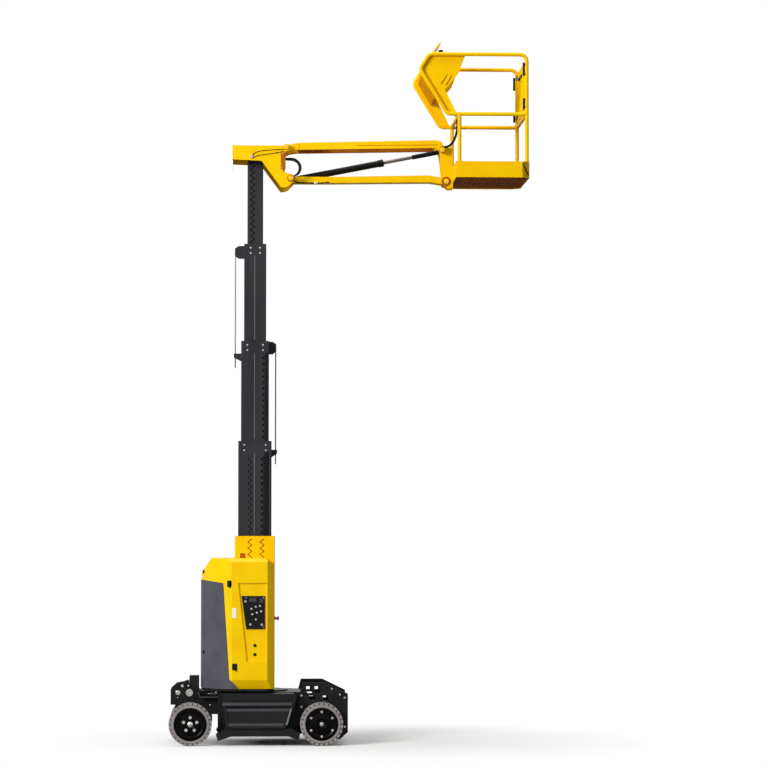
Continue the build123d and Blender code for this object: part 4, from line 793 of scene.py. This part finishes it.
# distances along the cylinder's line
BARREL_MOUTH = 866
SLEEVE_START = 1132
GLAND = [(0.0305, -0.050), (0.0335, -0.048), (0.0335, -0.004), (0.031, 0.0), (0.0305, 0.0)]
ROD_SLEEVE = [(0.0163, 0.0), (0.0185, 0.002), (0.021, 0.010), (0.021, 0.243), (0.0163, 0.246)]
finished_piece("cylinder_gland", lathe_mesh("cylinder_gland", GLAND, 40), FINISHES["cylinder_black"],
               "jib_cylinder", on_cylinder(BARREL_MOUTH))
finished_piece("rod_sleeve", lathe_mesh("rod_sleeve", ROD_SLEEVE, 32), FINISHES["cylinder_black"],
               "jib_rod", on_cylinder(SLEEVE_START))

# Head bracket: thin lines, grommet, ribs with screws, the ribs dark orange as painted shade, and hose loops;
# then the hose up to the console
LINE_PATHS = [
    [(-30, 5294), (-20, 5330), (60, 5352), (150, 5358), (246, 5364)],
    [(-26, 5286), (14, 5306), (90, 5318), (160, 5326), (246, 5344)],
]
head_lines = []
for path in LINE_PATHS:
    line = [at(path[0][0], -203, path[0][1] - 10)] + [at(x, -210, z) for x, z in path]
    head_lines.append(hose_mesh("head_line", line + [at(path[-1][0] + 24, -203, path[-1][1] + 2)], 0.0028))
finished_piece("head_lines", head_lines, HOSE_RUBBER, "mast_5")
head_ribs = block_pair("head_rib", (0.044, 0.006, 0.150), 0.002, 250, 207, 5258)
rib_screws = on_both_sides(screw_grid("rib_screw", 1, 2, 0.0, 0.128, 0.0055, 0.004), 238, 211, 5258)
finished_piece("head_ribs", head_ribs, PAINTED_SHADE_ORANGE, "mast_5")
finished_piece("rib_screws", rib_screws, ZINC, "mast_5")
GROMMET = [(0.0, 0.006), (0.012, 0.006), (0.016, 0.003), (0.017, 0.0)]
finished_piece("line_grommet", lathe_mesh("line_grommet", GROMMET, 28), ZINC, "mast_5",
               frame_at(at(-33, -205, 5296), TO_CAMERA))
loops = []
for y, reach in ((-165, 0), (-181, 12)):
    loops.append(hose_mesh("cylinder_hose", [
        at(238, y, 5276), at(290, y, 5274 + reach), at(346 + reach, y, 5270 + reach),
        at(388 + reach, y, 5244), at(400 + reach, y, 5205), at(393 + reach, y, 5165),
        at(368 + reach, y, 5134), at(330, y, 5118)], 0.0075))
finished_piece("cylinder_hoses", loops, HOSE_RUBBER, "mast_5")
riser = hose_mesh("console_hose", [
    at(1690, -140, 5402), at(1730, -150, 5396), at(1786, -158, 5424), at(1822, -170, 5500),
    at(1836, -180, 5580), at(1834, -190, 5650), at(1800, -190, 5740), at(1716, -180, 5840),
    at(1664, -170, 5890)], 0.011)
finished_piece("console_hose", riser, HOSE_RUBBER, "basket")

# Boom: long groove, the sleeve's edge, and sheets of painted shade on the underside and the inner faces, all
# in the painted shade's orange
GROOVE_TILT = Matrix.Rotation(-math.atan2(10, 730), 4, "Y")
BOOM_TILT = Matrix.Rotation(-math.atan2(24, 1253), 4, "Y")
BOOM_LENGTH = 1.245
boom_lines = [
    *block_pair("boom_groove", (0.73, 0.0016, 0.005), 0.0005, 1295, 150.2, 5415, GROOVE_TILT),
    *block_pair("boom_sleeve", (0.005, 0.0016, 0.050), 0.0005, 396, 150.2, 5398),
    *block_pair("boom_underside", (BOOM_LENGTH, 0.044, 0.0016), 0.0004, 1013.5, 127.5, 5379.8, BOOM_TILT),
    *block_pair("boom_inside", (BOOM_LENGTH, 0.0016, 0.048), 0.0004, 1013.5, 104.8, 5405, BOOM_TILT),
]
finished_piece("boom_lines", boom_lines, PAINTED_SHADE_ORANGE, "jib_boom")

# Arm: the line clipped under its tail
arm_line = hose_mesh("arm_line", [
    at(356, -79, 5090), at(372, -81, 5076), at(420, -81, 5073), at(520, -81, 5073), at(640, -81, 5074),
    at(668, -79, 5082)], 0.0055)
finished_piece("arm_line", arm_line, HOSE_RUBBER, "jib_arm")
finished_piece("arm_clip", block_mesh("arm_clip", (0.030, 0.014, 0.015), 0.003, placed(551, -80, 5074)),
               ZINC, "jib_arm")

# Basket: gate springs, and the gates' handles and straps
springs = []
for z0, z1 in ((6010, 6130), (5712, 5806)):
    half = (z1 - z0) / 2000
    rod = lathe_mesh("gate_spring", [(0.0, -half), (0.009, -half), (0.0105, -half + 0.006),
                                     (0.0105, half - 0.006), (0.009, half), (0.0, half)], 20)
    springs += [copied(rod, placed(2414, side * 474, (z0 + z1) / 2)) for side in (-1, 1)]
    for z in (z0 + 16, z1 - 16):
        springs += block_pair("spring_clip", (0.030, 0.018, 0.014), 0.002, 2420, 474, z)
finished_piece("gate_springs", springs, BLACK, "basket")
for side_name, side in (("left", 1), ("right", -1)):
    fittings = [block_mesh("gate_handle", (0.016, 0.120, 0.020), 0.004, placed(2424, side * 90, 6060))]
    for z in (5740, 6110):
        fittings.append(block_mesh("gate_strap", (0.006, 0.150, 0.036), 0.001,
                                   placed(2427.5, side * 350, z)))
    finished_piece(f"gate_fittings_{side_name}", fittings, BLACK, f"gate_{side_name}")

# Round holes of the grip sheet, over and under the floor
holes = []
for z in (5099.9, 5112.1):
    sheet = grown("grip_holes", HOLE_GRID, {"Columns": 20, "Rows": 29, "Width": 0.606, "Height": 0.924,
                                            "Head radius": 0.006, "Head height": 0.0012, "Sides": 10})
    holes.append(copied(sheet, placed(2125, 0, z)))
finished_piece("grip_holes", holes, GRIP_HOLES, "basket")

# Console face: black plate with its switches, joystick boot and knob, and the stop button
CONSOLE_TOP = 6193.5
BOOT = [(0.008, 0.045), (0.0105, 0.043), (0.010, 0.036), (0.0145, 0.033), (0.0135, 0.025), (0.0190, 0.021),
        (0.0180, 0.013), (0.0250, 0.008), (0.0265, 0.0)]
STICK_KNOB = [(0.0, 0.0453), (0.012, 0.0450), (0.0195, 0.040), (0.0215, 0.030), (0.0205, 0.012),
              (0.0150, -0.001), (0.0075, -0.006)]
STOP_TOP = [(0.0, 0.030), (0.012, 0.0285), (0.018, 0.024), (0.019, 0.018), (0.0175, 0.014), (0.009, 0.012),
            (0.009, 0.0)]
console_face = [
    block_mesh("console_face", (0.126, 0.84, 0.004), 0.001, placed(1630, 0, 6191.8)),
    copied(lathe_mesh("joystick_boot", BOOT, 32), placed(1676, -120, CONSOLE_TOP)),
    copied(lathe_mesh("joystick_knob", STICK_KNOB, 32), placed(1688, -120, 6250)),
]
finished_piece("console_face", console_face, BLACK, "basket")
switches = []
for y in (-60, -20, 20, 60, 100):
    switches.append(copied(lathe_mesh("console_toggle", TOGGLE, 20),
                           frame_at(at(1625, y, CONSOLE_TOP), (0, 0, 1), (0, 1, 0))))
finished_piece("console_switches", switches, ZINC, "basket")
finished_piece("console_stop", lathe_mesh("console_stop", STOP_TOP, 36), FINISHES["stop_red"], "basket",
               placed(1628, 165, CONSOLE_TOP))

# Straps across the toe board's front corners
straps = []
for side in (-1, 1):
    straps.append(hose_mesh("corner_strap", [
        at(2404, side * 489, 5214), at(2414, side * 482, 5194), at(2438, side * 464, 5150),
        at(2456, side * 448, 5114)], 0.005))
finished_piece("corner_straps", straps, HOSE_RUBBER, "basket")

# Dark inlays in the side plates' slanted slots: the slots' lower left and upper left corners, x and z
SLOT_ENDS = [
    ((1664, 5931), (1721, 6022)),
    ((1708, 5922), (1762, 6012)),
]
inlays = []
for side in (-1, 1):
    for (low_x, low_z), (high_x, high_z) in SLOT_ENDS:
        outline = [(low_x + 0.4, low_z), (low_x + 8.6, low_z), (high_x + 8.6, high_z), (high_x + 0.4, high_z)]
        inlay = plate_mesh("slot_inlay", [(x / 1000, z / 1000) for x, z in outline], 0.003, 0)
        inlays.append(copied(inlay, flat_on_side(446.4, side)))
finished_piece("slot_inlays", inlays, SLOT_SHADE, "basket")

# Chassis: bolts on the plates
PLATE_BOLTS = [
    (418, 440), (418, 340), (762, 448), (806, 420), (806, 160), (770, 110), (690, 500), (520, 150),
]
plate_bolts = []
for x, z in PLATE_BOLTS:
    plate_bolts += on_both_sides(screw_grid("plate_bolt", 1, 1, 0.0, 0.0, 0.009, 0.012), x, 350, z)
finished_piece("plate_bolts", plate_bolts, ZINC, "chassis")

# Rear bracket: bushes in the tie-down holes, studs, and a disc at the bottom of each hole
BRACKET_Y = 158
BUSH = [(0.0225, 0.004), (0.030, 0.004), (0.032, 0.0025), (0.032, 0.0), (0.0255, 0.0), (0.0255, -0.0078),
        (0.0225, -0.0078), (0.0225, 0.004)]
SMALL_BUSH = [(0.0135, 0.003), (0.020, 0.003), (0.0215, 0.002), (0.0215, 0.0), (0.0165, 0.0),
              (0.0165, -0.0078), (0.0135, -0.0078), (0.0135, 0.003)]
bushes = on_both_sides(lathe_mesh("bush", BUSH, 40), -584, BRACKET_Y, 456)
bushes += on_both_sides(lathe_mesh("bush", SMALL_BUSH, 40), -686, BRACKET_Y, 456)
finished_piece("tie_down_bushes", bushes, ZINC, "chassis")
# x, z, radius in metres and half Y of the face it stands on
STUDS = [
    (-647, 516, 0.013, BRACKET_Y), (-594, 518, 0.010, BRACKET_Y), (-690, 414, 0.008, BRACKET_Y),
    (-400, 346, 0.010, 150),
]
eyes = []
for x, z, radius, face_y in STUDS:
    stud = [(0.0, 0.009), (radius * 0.7, 0.0085), (radius, 0.005), (radius, 0.0), (radius * 1.5, 0.0),
            (radius * 1.5, -0.002)]
    eyes += on_both_sides(lathe_mesh("bracket_stud", stud, 28), x, face_y, z)
for x, radius in ((-584, 0.0215), (-686, 0.012)):
    disc = [(0.0, 0.0026), (radius, 0.0024), (radius, 0.0006), (0.0, 0.0006)]
    eyes += on_both_sides(lathe_mesh("hole_base", disc, 32), x, 150, 456)
finished_piece("bracket_studs", eyes, ZINC, "chassis")

# Hose tray on the rear beam's sides, with its lines and fittings
FITTING = [(0.0, -0.014), (0.009, -0.014), (0.009, 0.004), (0.0075, 0.014), (0.0, 0.014)]
BLOCK_FITTING = [(0.0, 0.010), (0.010, 0.008), (0.013, 0.0)]
END_TILT = Matrix.Rotation(math.radians(-22), 4, "Y")
tray = [
    *block_pair("tray_floor", (0.160, 0.060, 0.008), 0.002, -410, 182, 414),
    *block_pair("tray_end", (0.008, 0.060, 0.052), 0.002, -496, 182, 440, END_TILT),
    *block_pair("tray_lip", (0.160, 0.004, 0.014), 0.001, -410, 210, 418),
    *block_pair("tray_block", (0.060, 0.056, 0.034), 0.004, -362, 184, 456),
]
tray_hoses = []
fittings = on_both_sides(lathe_mesh("fitting", BLOCK_FITTING, 20), -344, 214, 462)
for side in (-1, 1):
    for row, (y, z, lift) in enumerate(((166, 430, 22), (182, 428, 14), (198, 430, 6))):
        tray_hoses.append(hose_mesh("tray_hose", [
            at(-500, side * y, z + 24 + lift), at(-470, side * y, z + 16 + lift),
            at(-430, side * y, z + lift), at(-390, side * y, z + 6), at(-350, side * y, z + 12),
            at(-336, side * y, z + 10)], 0.0065))
        stand = frame_at(at(-404 + 28 * row, side * y, z + 10 + lift * 0.4), (1, 0, 0.2))
        fittings.append(copied(lathe_mesh("fitting", FITTING, 12), stand))
finished_piece("hose_tray", tray, TRAY_GREY_AND_HIGHLIGHT, "chassis")
finished_piece("tray_hoses", tray_hoses, HOSE_RUBBER, "chassis")
finished_piece("tray_fittings", fittings, ZINC, "chassis")

# Mouldings on the side covers: ribs lighter than the cover as painted highlight, the front edge as a painted
# glint, and the deep grooves as painted shadow
# name, finish, half Y they start from, height, then the two ends and z of the foot and of the head
MOULDINGS = [
    ("cover_rib", TRAY_GREY_AND_HIGHLIGHT, 470, 11.5, (-284, 322, 358), (-288, 331, 384)),
    ("cover_shelf", TRAY_GREY_AND_HIGHLIGHT, 470, 3.5, (-270, 309, 306), (-276, 318, 330)),
    ("cover_sill", TRAY_GREY_AND_HIGHLIGHT, 470, 3.0, (-238, 266, 176), (-242, 275, 200)),
    ("front_edge", COVER_GLINT, 470, 11.5, (276, 291, 186), (316, 331, 330)),
    ("upper_groove", SEAM_DARK, 470, 1.6, (-280, 318, 334), (-282, 324, 352)),
    ("lower_groove", SEAM_DARK, 480, 0.8, (-246, 270, 140), (-240, 268, 157)),
]
for label, finish, start_y, height, (foot_x0, foot_x1, foot_z), (head_x0, head_x1, head_z) in MOULDINGS:
    bars = []
    for side in (-1, 1):
        outline = [(foot_x0, foot_z), (foot_x1, foot_z), (head_x1, head_z), (head_x0, head_z)]
        bar = plate_mesh(label, [(x / 1000, z / 1000) for x, z in outline], height / 1000, 0.0003)
        bars.append(copied(bar, flat_on_side(start_y, side)))
    finished_piece(f"{label}_moulding", bars, finish, "chassis")

# Junction box: cable tails out of it, and its lid with four screws
tails = []
for y, drop in ((-40, 0), (-20, 6), (24, 2)):
    tails.append(hose_mesh("box_tail", [
        at(-588, y, 560 - drop), at(-612, y, 562 - drop), at(-632, y, 545), at(-640, y * 1.4, 512),
        at(-648, y * 1.8, 488), at(-656, y * 2, 466)], 0.0055))
finished_piece("box_tails", tails, HOSE_RUBBER, "chassis")
lid = [block_mesh("box_lid", (0.082, 0.114, 0.006), 0.002, placed(-542, 0, 604))]
lid_screws = screw_grid("lid_screws", 2, 2, 0.066, 0.098, 0.004, 0.003, 12)
finished_piece("box_lid", lid, BLACK, "chassis")
finished_piece("lid_screws", lid_screws, None, "chassis", placed(-542, 0, 608))

# Floor, backdrop and light
floor_finish, floor_tree, floor_shader = new_finish("pale_floor")
floor_shader.inputs["Roughness"].default_value = 0.9
speckle = object_noise(floor_tree, 3.0)
pale_floor = blend_colours(floor_tree, speckle, (0.92, 0.92, 0.92), (0.94, 0.94, 0.94))
floor_place = floor_tree.nodes.new("ShaderNodeTexCoord")
distance = added(floor_tree, "ShaderNodeVectorMath", {0: floor_place.outputs["Object"]}, "LENGTH")
fade = remap(floor_tree, distance.outputs["Value"], 0.8, 2.8, 0, 1)
camera_sees = floor_tree.nodes.new("ShaderNodeLightPath").outputs["Is Camera Ray"]
# the object sees a darker ground than the camera does, as outdoors
seen_ground = floor_tree.nodes.new("ShaderNodeMix")
seen_ground.data_type = "RGBA"
seen_ground.inputs["A"].default_value = (0.30, 0.30, 0.30, 1)
floor_tree.links.new(pale_floor, seen_ground.inputs["B"])
floor_tree.links.new(camera_sees, seen_ground.inputs["Factor"])
floor_tree.links.new(seen_ground.outputs["Result"], floor_shader.inputs["Base Color"])
seen_fade = added(floor_tree, "ShaderNodeMath", {0: fade, 1: camera_sees}, "MULTIPLY")
white = floor_tree.nodes.new("ShaderNodeEmission")
floor_mix = added(floor_tree, "ShaderNodeMixShader", {
    "Fac": seen_fade.outputs[0], 1: floor_shader.outputs["BSDF"], 2: white.outputs["Emission"]})
floor_tree.links.new(floor_mix.outputs["Shader"], floor_tree.nodes["Material Output"].inputs["Surface"])
floor_mesh = bpy.data.meshes.new("studio_floor")
FLOOR_HALF = 60.0
floor_corners = [(x, y, 0) for x, y in ((-1, -1), (1, -1), (1, 1), (-1, 1))]
floor_mesh.from_pydata([(x * FLOOR_HALF, y * FLOOR_HALF, z) for x, y, z in floor_corners], [], [(0, 1, 2, 3)])
floor_mesh.materials.append(floor_finish)
studio_floor = bpy.data.objects.new("studio_floor", floor_mesh)
bpy.context.scene.collection.objects.link(studio_floor)

world = bpy.data.worlds.new("studio")
world.use_nodes = True
bpy.context.scene.world = world
air = world.node_tree
paths = air.nodes.new("ShaderNodeLightPath").outputs
seen = added(air, "ShaderNodeMath", {0: paths["Is Camera Ray"], 1: paths["Is Glossy Ray"]}, "MAXIMUM")
seen_through = added(air, "ShaderNodeMath", {0: seen.outputs[0], 1: paths["Is Transmission Ray"]}, "MAXIMUM")
strength = remap(air, seen_through.outputs[0], 0, 1, 0.32, 1.0)
background = air.nodes["Background"]
background.inputs["Color"].default_value = (1, 1, 1, 1)
air.links.new(strength, background.inputs["Strength"])


def soft_lamp(name, place, target, size, watts):
    """Square area lamp aimed at a point."""
    lamp = bpy.data.lights.new(name, "AREA")
    lamp.shape = "SQUARE"
    lamp.size = size
    lamp.energy = watts
    holder = bpy.data.objects.new(name, lamp)
    holder.location = place
    holder.rotation_euler = (Vector(target) - Vector(place)).to_track_quat("-Z", "Y").to_euler()
    bpy.context.scene.collection.objects.link(holder)


soft_lamp("key_lamp", (-12, -12, 9), (0, 0, 3), 6, 2750)
soft_lamp("top_lamp", (0, -1, 13), (0, 0, 3), 6, 500)
